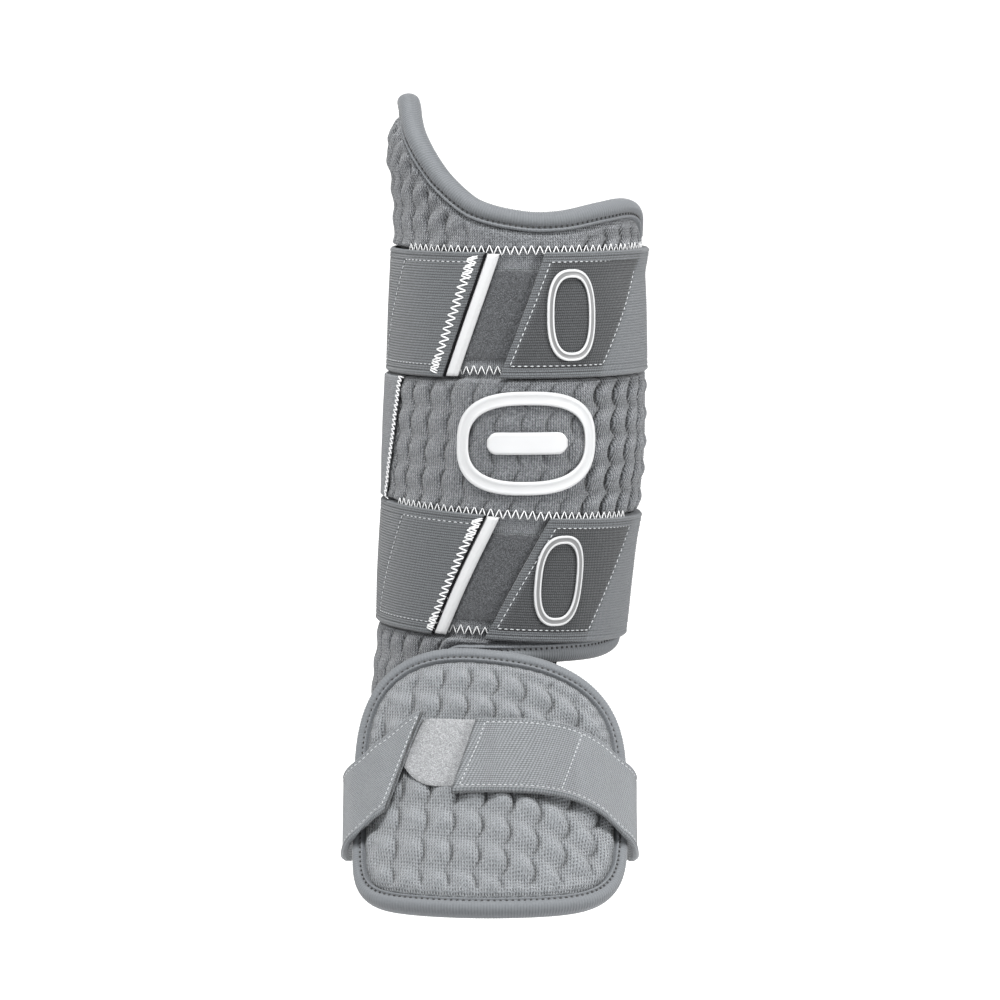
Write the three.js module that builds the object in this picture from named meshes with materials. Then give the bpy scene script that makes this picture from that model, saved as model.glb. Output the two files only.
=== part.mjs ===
// A batter's leg guard: a padded shin shell with two elastic straps, and a padded instep guard with its
// own strap. Millimetres, +Z up the leg, -Y to the front, +X away from the tall wing. The origin is the
// middle of the leg opening.
import * as THREE from "three";

// Shin shell
const LEG_HALF_WIDTH = 54;
const LEG_HALF_DEPTH = 58;
const SHELL_RISE = 134; // origin to the top of the side wing, without its binding
const SHELL_DROP = 120; // origin to the foot of the ankle wing, without its binding
const SHELL_FRONT_RISE = 87; // origin to the knee notch in the front
const SHELL_FRONT_DROP = 80; // origin to the straight lower edge in the front
const SHELL_WALL = 7.5;
const SHELL_CORNER = 14;
const WING_EDGE_ANGLE = 119; // degrees round from the front to the back edge of the wing
const PLAIN_EDGE_ANGLE = 95; // degrees round from the front to the plain side's back edge
const SHELL_COLUMNS = 36;

// Calf straps
const STRAP_WIDTH = 50.8;
const STRAP_THICKNESS = 1.9;
const STRAP_SINK = 3.6; // how far a tight strap presses into the padding
const STRAP_SINK_FADE = 4.5;
const UPPER_STRAP_HEIGHT = 53.6;
const LOWER_STRAP_HEIGHT = -53;
const LOWER_STRAP_TILT = 3.1; // drop from the leg's axis to its plain side
const STRAP_STEPS = 52;

// What lies under and on the straps
const GAP = 0.4;
const PATCH_THICKNESS = 0.7;
const PATCH_HEIGHT = 49;
const PATCH_LIFT = 2; // its middle above the strap's middle
const UPPER_PATCH_REACH = [-60, 86]; // degrees round, left and right end
const LOWER_PATCH_REACH = [-62, 62];
const FELT_THICKNESS = 0.8;
const FELT_HEIGHT = 36;
const FELT_REACH = [-40, 30];
const END_TAB_WIDTH = 5.7;
const END_TAB_TRIM = 1.2; // how much shorter it is than the strap is wide
const END_TAB_THICKNESS = 1.6;
const GUSSET_THICKNESS = 1;
const GUSSET_MARGIN = 3.5; // between it and the wing's back edge
const GUSSET_SEAM = { top: -61, bottom: -74 }; // degrees round, of its front edge

// Binding round the edges
const BINDING_WIDTH = 8.4;
const BINDING_THICKNESS = 9.2;
const BINDING_SIDES = 8;
const BINDING_FULLNESS = 1.08; // lets the eight-sided roll reach its full thickness
const PAD_BINDING_WIDTH = 7;
const PAD_BINDING_THICKNESS = 8.4;

// Badges: a plain ring with a bar in it on the shin, and a plain ring on each calf strap
const BADGE_WIDTH = 64;
const BADGE_HEIGHT = 42;
const BADGE_RIM = 5.5;
const BADGE_THICKNESS = 1.4;
const BADGE_TURN = 5; // degrees round from the front
const BADGE_LIFT = 2;
const BADGE_BAR_WIDTH = 36;
const BADGE_BAR_HEIGHT = 9;
const STRAP_BADGE_WIDTH = 25;
const STRAP_BADGE_HEIGHT = 37;
const STRAP_BADGE_RIM = 3.4;
const STRAP_BADGE_THICKNESS = 0.8;
const STRAP_BADGE_TURN = 24;
const BADGE_STEPS = 36;
const BADGE_SQUARENESS = 2.6; // 2 is an oval
const BAR_END = 0.3; // the flat tip of its round end, as a share of its height

// Instep guard
const PAD_CENTRE_X = -10.5;
const PAD_HALF_WIDTH = 52;
const PAD_HALF_RISE = 41.2;
const PAD_DROP = 4.5; // its upper edge below the shell's lower front edge
const PAD_FORWARD = 9.5; // its upper edge in front of the shell's front
const PAD_SLANT = 0.09; // how far its upper edge drops for each unit across, towards the plain side
const PAD_LEAN = 0.9; // how far it comes forward for each unit that it goes down
const PAD_BOW = 3.7;
const PAD_WRAP = 55; // depth of the oval that it is wrapped on
const PAD_WRAP_SPREAD = 1.25; // that oval's width over the guard's
const PAD_THICKNESS = 12;
const PAD_EDGE_THICKNESS = 7;
const PAD_RIM_DIP = 2.6;

// Instep strap and the pile that its ends close on
const FOOT_STRAP_WIDTH = 35;
const FOOT_STRAP_THICKNESS = 2;
const FOOT_STRAP_CLEARANCE = { wing: 3, plain: 2.7 }; // beside the instep guard's edges
const FOOT_STRAP_DEPTH = 158; // from the instep guard's crown to the back of the loop
const FOOT_STRAP_DROP = 29.5; // from its middle at the front to its middle at the sides
const FOOT_STRAP_LIFT = 5.2; // its middle at the front, above the guard's centre
const FOOT_STRAP_STEPS = 60;
const FOOT_FELT_THICKNESS = 0.9;
const FOOT_FELT_REACH = [-34, 2]; // its ends, beside the guard's centre
const FOOT_FELT_HEIGHT = 26;
const FOOT_FELT_ROUNDING = 12;
const FELT_END = 0.75; // how far that end has closed at its tip

// The elastic tab that joins the two guards
const LINK_HALF_WIDTH = 25;
const LINK_SHIFT = 4; // its middle beside the instep guard's middle
const LINK_CLEARANCE = 3.8; // between it and the shell's inner face
const LINK_THICKNESS = 1.8;

// Sizes that follow from those
const PAD_CENTRE_Z = -SHELL_FRONT_DROP - PAD_DROP - PAD_HALF_RISE;
const PAD_REACH = LEG_HALF_DEPTH + PAD_FORWARD + PAD_LEAN * PAD_HALF_RISE - PAD_BOW;

// Sections of the shell: height as a share of SHELL_RISE, the others as shares of LEG_HALF_WIDTH.
const SECTIONS = [
  { height: -1.0, centre: -0.21, width: 0.915 },
  { height: -0.75, centre: -0.17, width: 0.935 },
  { height: -0.6, centre: -0.115, width: 0.948 },
  { height: -0.4, centre: -0.08, width: 0.967 },
  { height: -0.17, centre: -0.03, width: 0.985 },
  { height: 0, centre: -0.003, width: 0.992 },
  { height: 0.4, centre: 0.01, width: 0.972 },
  { height: 0.66, centre: 0.008, width: 0.945 },
  { height: 0.78, centre: 0, width: 0.955 },
  { height: 0.88, centre: 0, width: 0.985 },
  { height: 0.94, centre: 0.006, width: 0.962 },
  { height: 1.02, centre: 0.02, width: 0.885 },
  { height: 1.1, centre: 0.03, width: 0.85 },
];

// Upper edge: degrees round from the front (wing side negative), and height as a share from the knee
// notch to the wing.
const TOP_EDGE = [
  { turn: -119, share: 0.76 },
  { turn: -108, share: 0.9 },
  { turn: -92, share: 0.99 },
  { turn: -75, share: 0.95 },
  { turn: -59, share: 0.73 },
  { turn: -43, share: 0.38 },
  { turn: -24, share: 0.12 },
  { turn: 0, share: 0.01 },
  { turn: 20, share: 0.0 },
  { turn: 47, share: 0.07 },
  { turn: 68, share: 0.085 },
  { turn: 95, share: -0.03 },
];

// Lower edge: the same, as a share from the front edge down to the foot of the ankle wing.
const BOTTOM_EDGE = [
  { turn: -119, share: 0.85 },
  { turn: -98, share: 1.0 },
  { turn: -70, share: 1.0 },
  { turn: -50, share: 0.86 },
  { turn: -36, share: 0.42 },
  { turn: -25, share: 0.05 },
  { turn: -12, share: 0.0 },
  { turn: 30, share: 0.0 },
  { turn: 60, share: 0.0 },
  { turn: 95, share: -0.06 },
];

// How square each corner of the instep guard's outline is, as the exponent of its oval.
const PAD_CORNERS = { upperWing: 2.4, upperPlain: 2.45, lowerWing: 11, lowerPlain: 7 };

// Half of the instep strap's loop, from the crown to the back: across as a share of its half width, which
// is the guard's and the clearance, back of FOOT_STRAP_DEPTH, drop of FOOT_STRAP_DROP, and hug, how much
// the strap follows the guard's slope across its width.
const FOOT_STRAP_PATH = [
  { across: 0, back: 0, drop: 0, hug: 1 },
  { across: 0.35, back: 0.014, drop: 0.03, hug: 1 },
  { across: 0.62, back: 0.05, drop: 0.15, hug: 1 },
  { across: 0.83, back: 0.096, drop: 0.37, hug: 1 },
  { across: 0.97, back: 0.158, drop: 0.66, hug: 0.94 },
  { across: 1.01, back: 0.25, drop: 0.86, hug: 0.7 },
  { across: 1.0, back: 0.4, drop: 1.0, hug: 0.35 },
  { across: 0.97, back: 0.58, drop: 1.1, hug: 0.13 },
  { across: 0.84, back: 0.78, drop: 1.22, hug: 0.05 },
  { across: 0.5, back: 0.95, drop: 1.36, hug: 0 },
  { across: 0, back: 1.0, drop: 1.42, hug: 0 },
];

// Both ends of each calf strap: degrees round from the front, at the strap's upper and lower edge.
const UPPER_STRAP_ENDS = { wing: [-14.5, -33.6], plain: [12.6, -8] };
const LOWER_STRAP_ENDS = { wing: [-11.5, -33], plain: [17.7, -8] };
// Both ends of the instep strap, in rows of its path from the crown, at its upper and lower edge.
const FOOT_STRAP_ENDS = { wing: [1.4, 2.3], plain: [0.35, 0.8] };

// The link tab's way: pad, a height on the instep guard's back as a share of PAD_HALF_RISE; drop, a depth
// below the shell's lower front edge in widths of its binding; and over, how far the tab has come from
// the guard to the shell.
const LINK_PATH = [
  { pad: -0.05, drop: 0, over: 0 },
  { pad: 0.22, drop: 0, over: 0 },
  { pad: 0.49, drop: 0, over: 0 },
  { pad: 0.66, drop: 2.6, over: 0.5 },
  { pad: 0, drop: 1.3, over: 1 },
  { pad: 0, drop: -0.24, over: 1 },
  { pad: 0, drop: -1.9, over: 1 },
];

const radians = THREE.MathUtils.degToRad;
const lerp = THREE.MathUtils.lerp;
const clamp = THREE.MathUtils.clamp;

// A smooth value of a table's column at a place between two of its rows.
function smoothAt(table, column, place) {
  const row = clamp(Math.floor(place), 0, table.length - 2);
  const at = (i) => table[clamp(i, 0, table.length - 1)][column];
  const [a, b, c, d] = [at(row - 1), at(row), at(row + 1), at(row + 2)];
  const f = place - row;
  return b + 0.5 * f * (c - a + f * (2 * a - 5 * b + 4 * c - d + f * (3 * (b - c) + d - a)));
}

// The place in a table whose key column rises from row to row.
function placeOf(table, key, value) {
  const last = table.length - 1;
  const v = clamp(value, table[0][key], table[last][key]);
  const row = Math.min(last - 1, table.findIndex((r, i) => i < last && v <= table[i + 1][key]));
  return row + (v - table[row][key]) / (table[row + 1][key] - table[row][key]);
}

const lookUp = (table, key, value, column) => smoothAt(table, column, placeOf(table, key, value));

// Turns a closed geometry's faces outwards after its points were moved, and works out its shading.
function faceOutwards(geometry) {
  const p = geometry.getAttribute("position");
  const index = geometry.index.array;
  const corner = (i) => new THREE.Vector3().fromBufferAttribute(p, index[i]);
  let volume = 0;
  for (let i = 0; i < index.length; i += 3) {
    volume += corner(i).dot(corner(i + 1).cross(corner(i + 2)));
  }
  if (volume < 0) {
    for (let i = 0; i < index.length; i += 3) {
      [index[i + 1], index[i + 2]] = [index[i + 2], index[i + 1]];
    }
  }
  geometry.computeVertexNormals();
  return geometry;
}

// A sheet: place(along, across, outer) gives the point at shares 0 to 1 of its length and width, on its
// outer or inner face.
function sheet(alongSteps, acrossSteps, place) {
  const geometry = new THREE.BoxGeometry(1, 1, 1, alongSteps, acrossSteps, 1);
  const p = geometry.getAttribute("position");
  for (let i = 0; i < p.count; i += 1) {
    const along = Math.round((p.getX(i) + 0.5) * alongSteps) / alongSteps;
    const across = Math.round((p.getY(i) + 0.5) * acrossSteps) / acrossSteps;
    const point = place(along, across, p.getZ(i) > 0);
    p.setXYZ(i, point.x, point.y, point.z);
  }
  return faceOutwards(geometry);
}

// A closed loop: place(station, side) gives the point of its section's side at a station, both whole
// numbers.
function loop(stations, sides, place) {
  const geometry = new THREE.TorusGeometry(1, 0.4, sides, stations);
  const p = geometry.getAttribute("position");
  const uv = geometry.getAttribute("uv");
  for (let i = 0; i < p.count; i += 1) {
    const station = Math.round(uv.getX(i) * stations) % stations;
    const side = Math.round(uv.getY(i) * sides) % sides;
    const point = place(station, side);
    p.setXYZ(i, point.x, point.y, point.z);
  }
  return faceOutwards(geometry);
}

const straps = {
  upper: { height: UPPER_STRAP_HEIGHT, tilt: 0, ends: UPPER_STRAP_ENDS, patch: UPPER_PATCH_REACH },
  lower: { height: LOWER_STRAP_HEIGHT, tilt: LOWER_STRAP_TILT, ends: LOWER_STRAP_ENDS, patch: LOWER_PATCH_REACH },
};

// The height of a calf strap's middle at a turn round the leg.
const strapMiddle = (strap, turn) => strap.height - strap.tilt * Math.sin(radians(turn));

// How far the straps press the shell in at a point.
function sinkAt(turn, z) {
  const shares = Object.values(straps).map((strap) => {
    const past = Math.abs(z - strapMiddle(strap, turn)) - STRAP_WIDTH / 2;
    return clamp(1 - past / STRAP_SINK_FADE, 0, 1);
  });
  return STRAP_SINK * Math.max(...shares);
}

// A point of the leg's oval at a turn and height, a distance outside the shell's outer face.
function legPoint(turn, z, outside, sunk = true) {
  const height = z / SHELL_RISE;
  const centre = LEG_HALF_WIDTH * lookUp(SECTIONS, "height", height, "centre");
  const width = lookUp(SECTIONS, "height", height, "width");
  const out = outside - (sunk ? sinkAt(turn, z) : 0);
  return new THREE.Vector3(
    centre + (LEG_HALF_WIDTH * width + out) * Math.sin(radians(turn)),
    -(LEG_HALF_DEPTH * width + out) * Math.cos(radians(turn)),
    z,
  );
}

// Shell columns: the corner arcs at both ends, and even steps between them.
const CORNER_STEPS = 4;
const cornerTurn = THREE.MathUtils.radToDeg(SHELL_CORNER / LEG_HALF_WIDTH);
function shellColumn(i) {
  const near = Math.min(i, SHELL_COLUMNS - i, CORNER_STEPS);
  const arc = (Math.PI / 2) * (near / CORNER_STEPS);
  const inset = cornerTurn * (1 - Math.cos(arc));
  const rounding = SHELL_CORNER * (1 - Math.sin(arc));
  let turn;
  if (i < CORNER_STEPS) {
    turn = -WING_EDGE_ANGLE + inset;
  } else if (i > SHELL_COLUMNS - CORNER_STEPS) {
    turn = PLAIN_EDGE_ANGLE - inset;
  } else {
    const share = (i - CORNER_STEPS) / (SHELL_COLUMNS - 2 * CORNER_STEPS);
    turn = lerp(-WING_EDGE_ANGLE + cornerTurn, PLAIN_EDGE_ANGLE - cornerTurn, share);
  }
  const topShare = lookUp(TOP_EDGE, "turn", turn, "share");
  const bottomShare = lookUp(BOTTOM_EDGE, "turn", turn, "share");
  return {
    turn,
    top: lerp(SHELL_FRONT_RISE, SHELL_RISE, topShare) - rounding,
    bottom: -lerp(SHELL_FRONT_DROP, SHELL_DROP, bottomShare) + rounding,
  };
}

// The levels round the straps at a turn, where the padding bends: fade, edge, middle, edge, fade of each
// strap.
function strapLevels(turn) {
  const half = STRAP_WIDTH / 2;
  const steps = [-half - STRAP_SINK_FADE, -half, 0, half, half + STRAP_SINK_FADE];
  const [upper, lower] = [straps.upper, straps.lower].map((strap) => strapMiddle(strap, turn));
  return [...steps.map((step) => lower + step), (upper + lower) / 2, ...steps.map((step) => upper + step)];
}

// The levels at the lower strap's upper edge and the upper strap's lower edge
const [LOWER_FOLD, UPPER_FOLD] = [3, 7];

// Shell rows: its lower edge, a row above it, the levels, a row below its upper edge, and that edge.
const SHELL_ROWS = strapLevels(0).length + 3;
const ROW_ROOM = 0.7;
function shellHeight(column, row) {
  const levels = strapLevels(column.turn);
  const heights = [
    column.bottom,
    (column.bottom + levels[0]) / 2,
    ...levels,
    (column.top + levels[levels.length - 1]) / 2,
    column.top,
  ];
  const above = SHELL_ROWS - row;
  return clamp(heights[row], column.bottom + ROW_ROOM * row, column.top - ROW_ROOM * above);
}

function shellPoint(i, row, outside, sunk = true) {
  const column = shellColumn(i);
  return legPoint(column.turn, shellHeight(column, row), outside, sunk);
}

function shinShell() {
  return sheet(SHELL_COLUMNS, SHELL_ROWS, (along, across, outer) =>
    shellPoint(
      Math.round(along * SHELL_COLUMNS),
      Math.round(across * SHELL_ROWS),
      outer ? 0 : -SHELL_WALL,
      outer,
    ),
  );
}

// The grid places round the edge of a sheet, in order.
function edgeStations(columns, rows) {
  const places = [];
  for (let i = 0; i < columns; i += 1) {
    places.push([i, 0]);
  }
  for (let j = 0; j < rows; j += 1) {
    places.push([columns, j]);
  }
  for (let i = columns; i > 0; i -= 1) {
    places.push([i, rows]);
  }
  for (let j = rows; j > 0; j -= 1) {
    places.push([0, j]);
  }
  return places;
}

// A rolled binding round the edge of a padded wall: edge(i, j, outer) gives the wall's corner points
// there. Where the wall is pressed thinner than its full thickness, the binding is too.
const BINDING_SQUEEZE = 0.6;
function binding(stations, width, thickness, wall, edge) {
  const count = stations.length;
  const at = (k, outer) => edge(...stations[(k + count) % count], outer);
  const middle = (k) => at(k, true).add(at(k, false)).multiplyScalar(0.5);
  return loop(count, BINDING_SIDES, (k, side) => {
    const through = at(k, true).sub(at(k, false));
    const half = (thickness - BINDING_SQUEEZE * (wall - through.length())) / 2;
    const normal = through.normalize();
    const tangent = middle(k + 1).sub(middle(k - 1)).normalize();
    const outward = tangent.cross(normal).normalize();
    const angle = 2 * Math.PI * ((side + 0.5) / BINDING_SIDES);
    const round = Math.sign(Math.cos(angle)) * Math.sqrt(Math.abs(Math.cos(angle)));
    return middle(k)
      .addScaledVector(outward, lerp(GAP, width, (1 + round) / 2))
      .addScaledVector(normal, half * Math.sin(angle) * BINDING_FULLNESS);
  });
}

function shinBinding() {
  const stations = edgeStations(SHELL_COLUMNS, SHELL_ROWS);
  return binding(stations, BINDING_WIDTH, BINDING_THICKNESS, SHELL_WALL, (i, j, outer) =>
    shellPoint(i, j, outer ? 0 : -SHELL_WALL, outer),
  );
}

// A band that lies round the leg between two turns: each end has a turn at its upper and lower edge, and
// rows lists the heights of its cross lines as distances from the strap's middle, from the lowest.
function legBand(strap, from, to, rows, inside, thickness, steps) {
  return sheet(steps, rows.length - 1, (along, across, outer) => {
    const step = rows[Math.round(across * (rows.length - 1))];
    const rise = (step - rows[0]) / (rows[rows.length - 1] - rows[0]);
    const turn = lerp(lerp(from[1], from[0], rise), lerp(to[1], to[0], rise), along);
    return legPoint(turn, strapMiddle(strap, turn) + step, inside + (outer ? thickness : 0));
  });
}

const evenRows = (height, count) => Array.from({ length: count + 1 }, (_, i) => height * (i / count - 0.5));
const feltInside = GAP + PATCH_THICKNESS + GAP;
const strapInside = feltInside + FELT_THICKNESS + GAP;

function landingPatch(strap) {
  const [left, right] = strap.patch;
  const low = PATCH_LIFT - PATCH_HEIGHT / 2;
  const rows = [low, 0, STRAP_WIDTH / 2, low + PATCH_HEIGHT];
  return legBand(strap, [left, left], [right, right], rows, GAP, PATCH_THICKNESS, 24);
}

function landingFelt(strap) {
  const [left, right] = FELT_REACH;
  const rows = evenRows(FELT_HEIGHT, 2);
  return legBand(strap, [left, left], [right, right], rows, feltInside, FELT_THICKNESS, 12);
}

// The strap runs from its plain-side end round the back to its wing-side end.
function calfStrap(strap) {
  const { wing, plain } = strap.ends;
  const to = wing.map((turn) => turn + 360);
  return legBand(strap, plain, to, evenRows(STRAP_WIDTH, 4), strapInside, STRAP_THICKNESS, STRAP_STEPS);
}

// The pull tab sewn along the slanted wing-side end of a strap.
function endTab(strap) {
  const turnOf = (length) => THREE.MathUtils.radToDeg(length / LEG_HALF_DEPTH);
  const from = strap.ends.wing.map((turn) => turn + turnOf(2 * GAP));
  const to = from.map((turn) => turn + turnOf(END_TAB_WIDTH));
  const rows = evenRows(STRAP_WIDTH - END_TAB_TRIM, 4);
  return legBand(strap, from, to, rows, strapInside, END_TAB_THICKNESS, 2);
}

// The smooth side panel between the straps on the wing side. Its rows follow the padding's own bends.
function sideGusset() {
  const back = -WING_EDGE_ANGLE + THREE.MathUtils.radToDeg(GUSSET_MARGIN / LEG_HALF_WIDTH);
  const [lowest, highest] = [LOWER_FOLD, UPPER_FOLD];
  return sheet(9, highest - lowest, (along, across, outer) => {
    const front = lerp(GUSSET_SEAM.bottom, GUSSET_SEAM.top, across);
    const turn = lerp(front, back, along);
    const z = strapLevels(turn)[Math.round(lerp(lowest, highest, across))];
    return legPoint(turn, z, GAP + (outer ? GUSSET_THICKNESS : 0));
  });
}

// A point on a badge's face: right and up are millimetres from its centre, over a band round the leg.
function badgePoint(turn, z, right, up, outside) {
  return legPoint(turn + THREE.MathUtils.radToDeg(right / (LEG_HALF_DEPTH + outside)), z + up, outside);
}

// A point on a rounded outline, width by height, at a share of the way round it.
function badgeOutline(share, width, height) {
  const angle = 2 * Math.PI * share;
  const bulge = (v) => Math.sign(v) * Math.abs(v) ** (2 / BADGE_SQUARENESS);
  return [(width / 2) * bulge(Math.cos(angle)), (height / 2) * bulge(Math.sin(angle))];
}

// A rounded ring, bent round the leg.
function badgeRing(turn, z, width, height, rim, inside, thickness) {
  return loop(BADGE_STEPS, 4, (station, side) => {
    const trim = side === 1 || side === 2 ? 2 * rim : 0;
    const [right, up] = badgeOutline(station / BADGE_STEPS, width - trim, height - trim);
    return badgePoint(turn, z, right, up, inside + (side < 2 ? thickness : 0));
  });
}

// A bar with round ends, bent round the leg.
function badgeBar(turn, z, width, height, inside, thickness) {
  const half = height / 2;
  return sheet(12, 4, (along, across, outer) => {
    const right = width * (along - 0.5);
    const past = Math.max(0, Math.abs(right) - (width / 2 - half));
    const rise = Math.max(BAR_END * half, Math.sqrt(Math.max(0, half ** 2 - past ** 2)));
    return badgePoint(turn, z, right, (2 * across - 1) * rise, inside + (outer ? thickness : 0));
  });
}

function strapBadge(strap) {
  const z = strapMiddle(strap, STRAP_BADGE_TURN);
  const inside = strapInside + STRAP_THICKNESS + GAP;
  const [width, height] = [STRAP_BADGE_WIDTH, STRAP_BADGE_HEIGHT];
  return badgeRing(STRAP_BADGE_TURN, z, width, height, STRAP_BADGE_RIM, inside, STRAP_BADGE_THICKNESS);
}

const frontBadgeRing = () =>
  badgeRing(BADGE_TURN, BADGE_LIFT, BADGE_WIDTH, BADGE_HEIGHT, BADGE_RIM, GAP, BADGE_THICKNESS);

const frontBadgeBar = () =>
  badgeBar(BADGE_TURN, BADGE_LIFT, BADGE_BAR_WIDTH, BADGE_BAR_HEIGHT, GAP, BADGE_THICKNESS);

// How far forward the instep guard's crown stands, up millimetres from its centre.
const padCrown = (up) => -PAD_REACH + PAD_LEAN * up - PAD_BOW * (up / PAD_HALF_RISE) ** 2;

// A point of the instep guard's face: across and up are millimetres from its centre.
function padFace(across, up) {
  const oval = PAD_WRAP_SPREAD * PAD_HALF_WIDTH;
  const wrap = PAD_WRAP * (1 - Math.sqrt(Math.max(0, 1 - (across / oval) ** 2)));
  return new THREE.Vector3(PAD_CENTRE_X + across, padCrown(up) + wrap, PAD_CENTRE_Z + up);
}

function padNormal(across, up) {
  const step = 0.5;
  const alongX = padFace(across + step, up).sub(padFace(across - step, up));
  const alongZ = padFace(across, up + step).sub(padFace(across, up - step));
  return alongX.cross(alongZ).normalize();
}

const padPoint = (across, up, under) => padFace(across, up).addScaledVector(padNormal(across, up), -under);

// The place on the guard of a point of the square from -1 to 1: the square's rim becomes the rounded
// outline.
function padPlan(s, t) {
  const ring = Math.max(Math.abs(s), Math.abs(t));
  if (ring === 0) {
    return { across: 0, up: 0, ring };
  }
  const angle = Math.atan2(t, s);
  const [c, d] = [Math.abs(Math.cos(angle)), Math.abs(Math.sin(angle))];
  const corner = (t > 0 ? "upper" : "lower") + (s > 0 ? "Plain" : "Wing");
  const power = PAD_CORNERS[corner];
  const radius = ring / (c ** power + d ** power) ** (1 / power);
  const across = PAD_HALF_WIDTH * radius * Math.cos(angle);
  const rise = radius * Math.sin(angle);
  return { across, up: PAD_HALF_RISE * rise - PAD_SLANT * across * Math.max(0, rise), ring };
}

const PAD_COLUMNS = 16;
const PAD_ROWS = 14;
function padGridPoint(i, j, outer) {
  const { across, up, ring } = padPlan((2 * i) / PAD_COLUMNS - 1, (2 * j) / PAD_ROWS - 1);
  const dip = PAD_RIM_DIP * ring ** 6;
  const thickness = lerp(PAD_THICKNESS, PAD_EDGE_THICKNESS + dip, ring ** 4);
  return padPoint(across, up, outer ? dip : thickness);
}

function instepPad() {
  return sheet(PAD_COLUMNS, PAD_ROWS, (along, across, outer) =>
    padGridPoint(Math.round(along * PAD_COLUMNS), Math.round(across * PAD_ROWS), outer),
  );
}

function instepBinding() {
  const stations = edgeStations(PAD_COLUMNS, PAD_ROWS);
  return binding(stations, PAD_BINDING_WIDTH, PAD_BINDING_THICKNESS, PAD_EDGE_THICKNESS, padGridPoint);
}

const footFeltInside = GAP;
const footStrapInside = footFeltInside + FOOT_FELT_THICKNESS + GAP;

// The pile that the instep strap's ends close on, round at its wing-side end.
function instepFelt() {
  const [left, right] = FOOT_FELT_REACH;
  return sheet(8, 5, (along, across, outer) => {
    const spot = lerp(left, right, along);
    const turned = 1 - clamp((spot - left) / FOOT_FELT_ROUNDING, 0, 1);
    const height = FOOT_FELT_HEIGHT * Math.sqrt(1 - FELT_END * turned ** 2);
    const under = -(footFeltInside + (outer ? FOOT_FELT_THICKNESS : 0));
    return padPoint(spot, FOOT_STRAP_LIFT + height * (across - 0.5), under);
  });
}

// The instep strap's loop. A place is counted in rows from the crown, negative on the wing side.
function footStrapSpot(place) {
  const row = Math.abs(place);
  const at = (column) => smoothAt(FOOT_STRAP_PATH, column, row);
  const up = FOOT_STRAP_LIFT - FOOT_STRAP_DROP * at("drop");
  const { wing, plain } = FOOT_STRAP_CLEARANCE;
  const half = PAD_HALF_WIDTH + (place < 0 ? wing : plain);
  return {
    x: PAD_CENTRE_X + (place < 0 ? -half : half) * at("across"),
    y: padCrown(up) + FOOT_STRAP_DEPTH * at("back"),
    up,
    hug: at("hug"),
  };
}

function footStrapPoint(place, across, outside) {
  const { x, y, up, hug } = footStrapSpot(place);
  const slope = PAD_LEAN * hug;
  const rise = (FOOT_STRAP_WIDTH * (across - 0.5)) / Math.hypot(1, slope);
  const [behind, ahead] = [footStrapSpot(place - 0.05), footStrapSpot(place + 0.05)];
  const outward = new THREE.Vector3(ahead.y - behind.y, behind.x - ahead.x, 0).normalize();
  outward.z = -slope * outward.y;
  const point = new THREE.Vector3(x, y + hug * (padCrown(up + rise) - padCrown(up)), PAD_CENTRE_Z + up + rise);
  return point.addScaledVector(outward.normalize(), outside);
}

function instepStrap() {
  const { wing, plain } = FOOT_STRAP_ENDS;
  const round = 2 * (FOOT_STRAP_PATH.length - 1);
  return sheet(FOOT_STRAP_STEPS, 3, (along, across, outer) => {
    const travelled = lerp(lerp(wing[1], wing[0], across), round + lerp(plain[1], plain[0], across), along);
    const place = travelled <= round / 2 ? -travelled : round - travelled;
    return footStrapPoint(place, across, footStrapInside + (outer ? FOOT_STRAP_THICKNESS : 0));
  });
}

// The tab that runs from the back of the instep guard to the inside of the shell's lower edge.
function linkTab() {
  const onShell = (right, drop, under) => {
    const turn = THREE.MathUtils.radToDeg(Math.asin(right / LEG_HALF_WIDTH));
    return legPoint(turn, -SHELL_FRONT_DROP - drop, -(SHELL_WALL + LINK_CLEARANCE + under), false);
  };
  const last = LINK_PATH.length - 1;
  return sheet(6, last, (along, across, outer) => {
    const right = LINK_SHIFT + LINK_HALF_WIDTH * (2 * along - 1);
    const under = outer ? 0 : LINK_THICKNESS;
    const { pad, drop, over } = LINK_PATH[Math.round(across * last)];
    const back = padPoint(right, pad * PAD_HALF_RISE, PAD_THICKNESS + GAP + under);
    return back.lerp(onShell(right, drop * BINDING_WIDTH, under), over);
  });
}

const materials = {
  knit: { color: 0x72767a, roughness: 0.85 },
  padKnit: { color: 0x8a8e92, roughness: 0.85 },
  binding: { color: 0x7d8184, roughness: 0.7 },
  webbing: { color: 0x696d71, roughness: 0.8 },
  footWebbing: { color: 0x868a8e, roughness: 0.8 },
  patch: { color: 0x6e7276, roughness: 0.85 },
  felt: { color: 0x54575b, roughness: 0.95 },
  footFelt: { color: 0xa2a6aa, roughness: 0.95 },
  rubber: { color: 0xe8e8e8, roughness: 0.45 },
  link: { color: 0x141517, roughness: 0.8 },
};

const guard = new THREE.Group();
function add(name, material, geometry) {
  const look = new THREE.MeshStandardMaterial({ ...materials[material], metalness: 0 });
  const mesh = new THREE.Mesh(geometry, look);
  mesh.name = name;
  guard.add(mesh);
}

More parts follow.
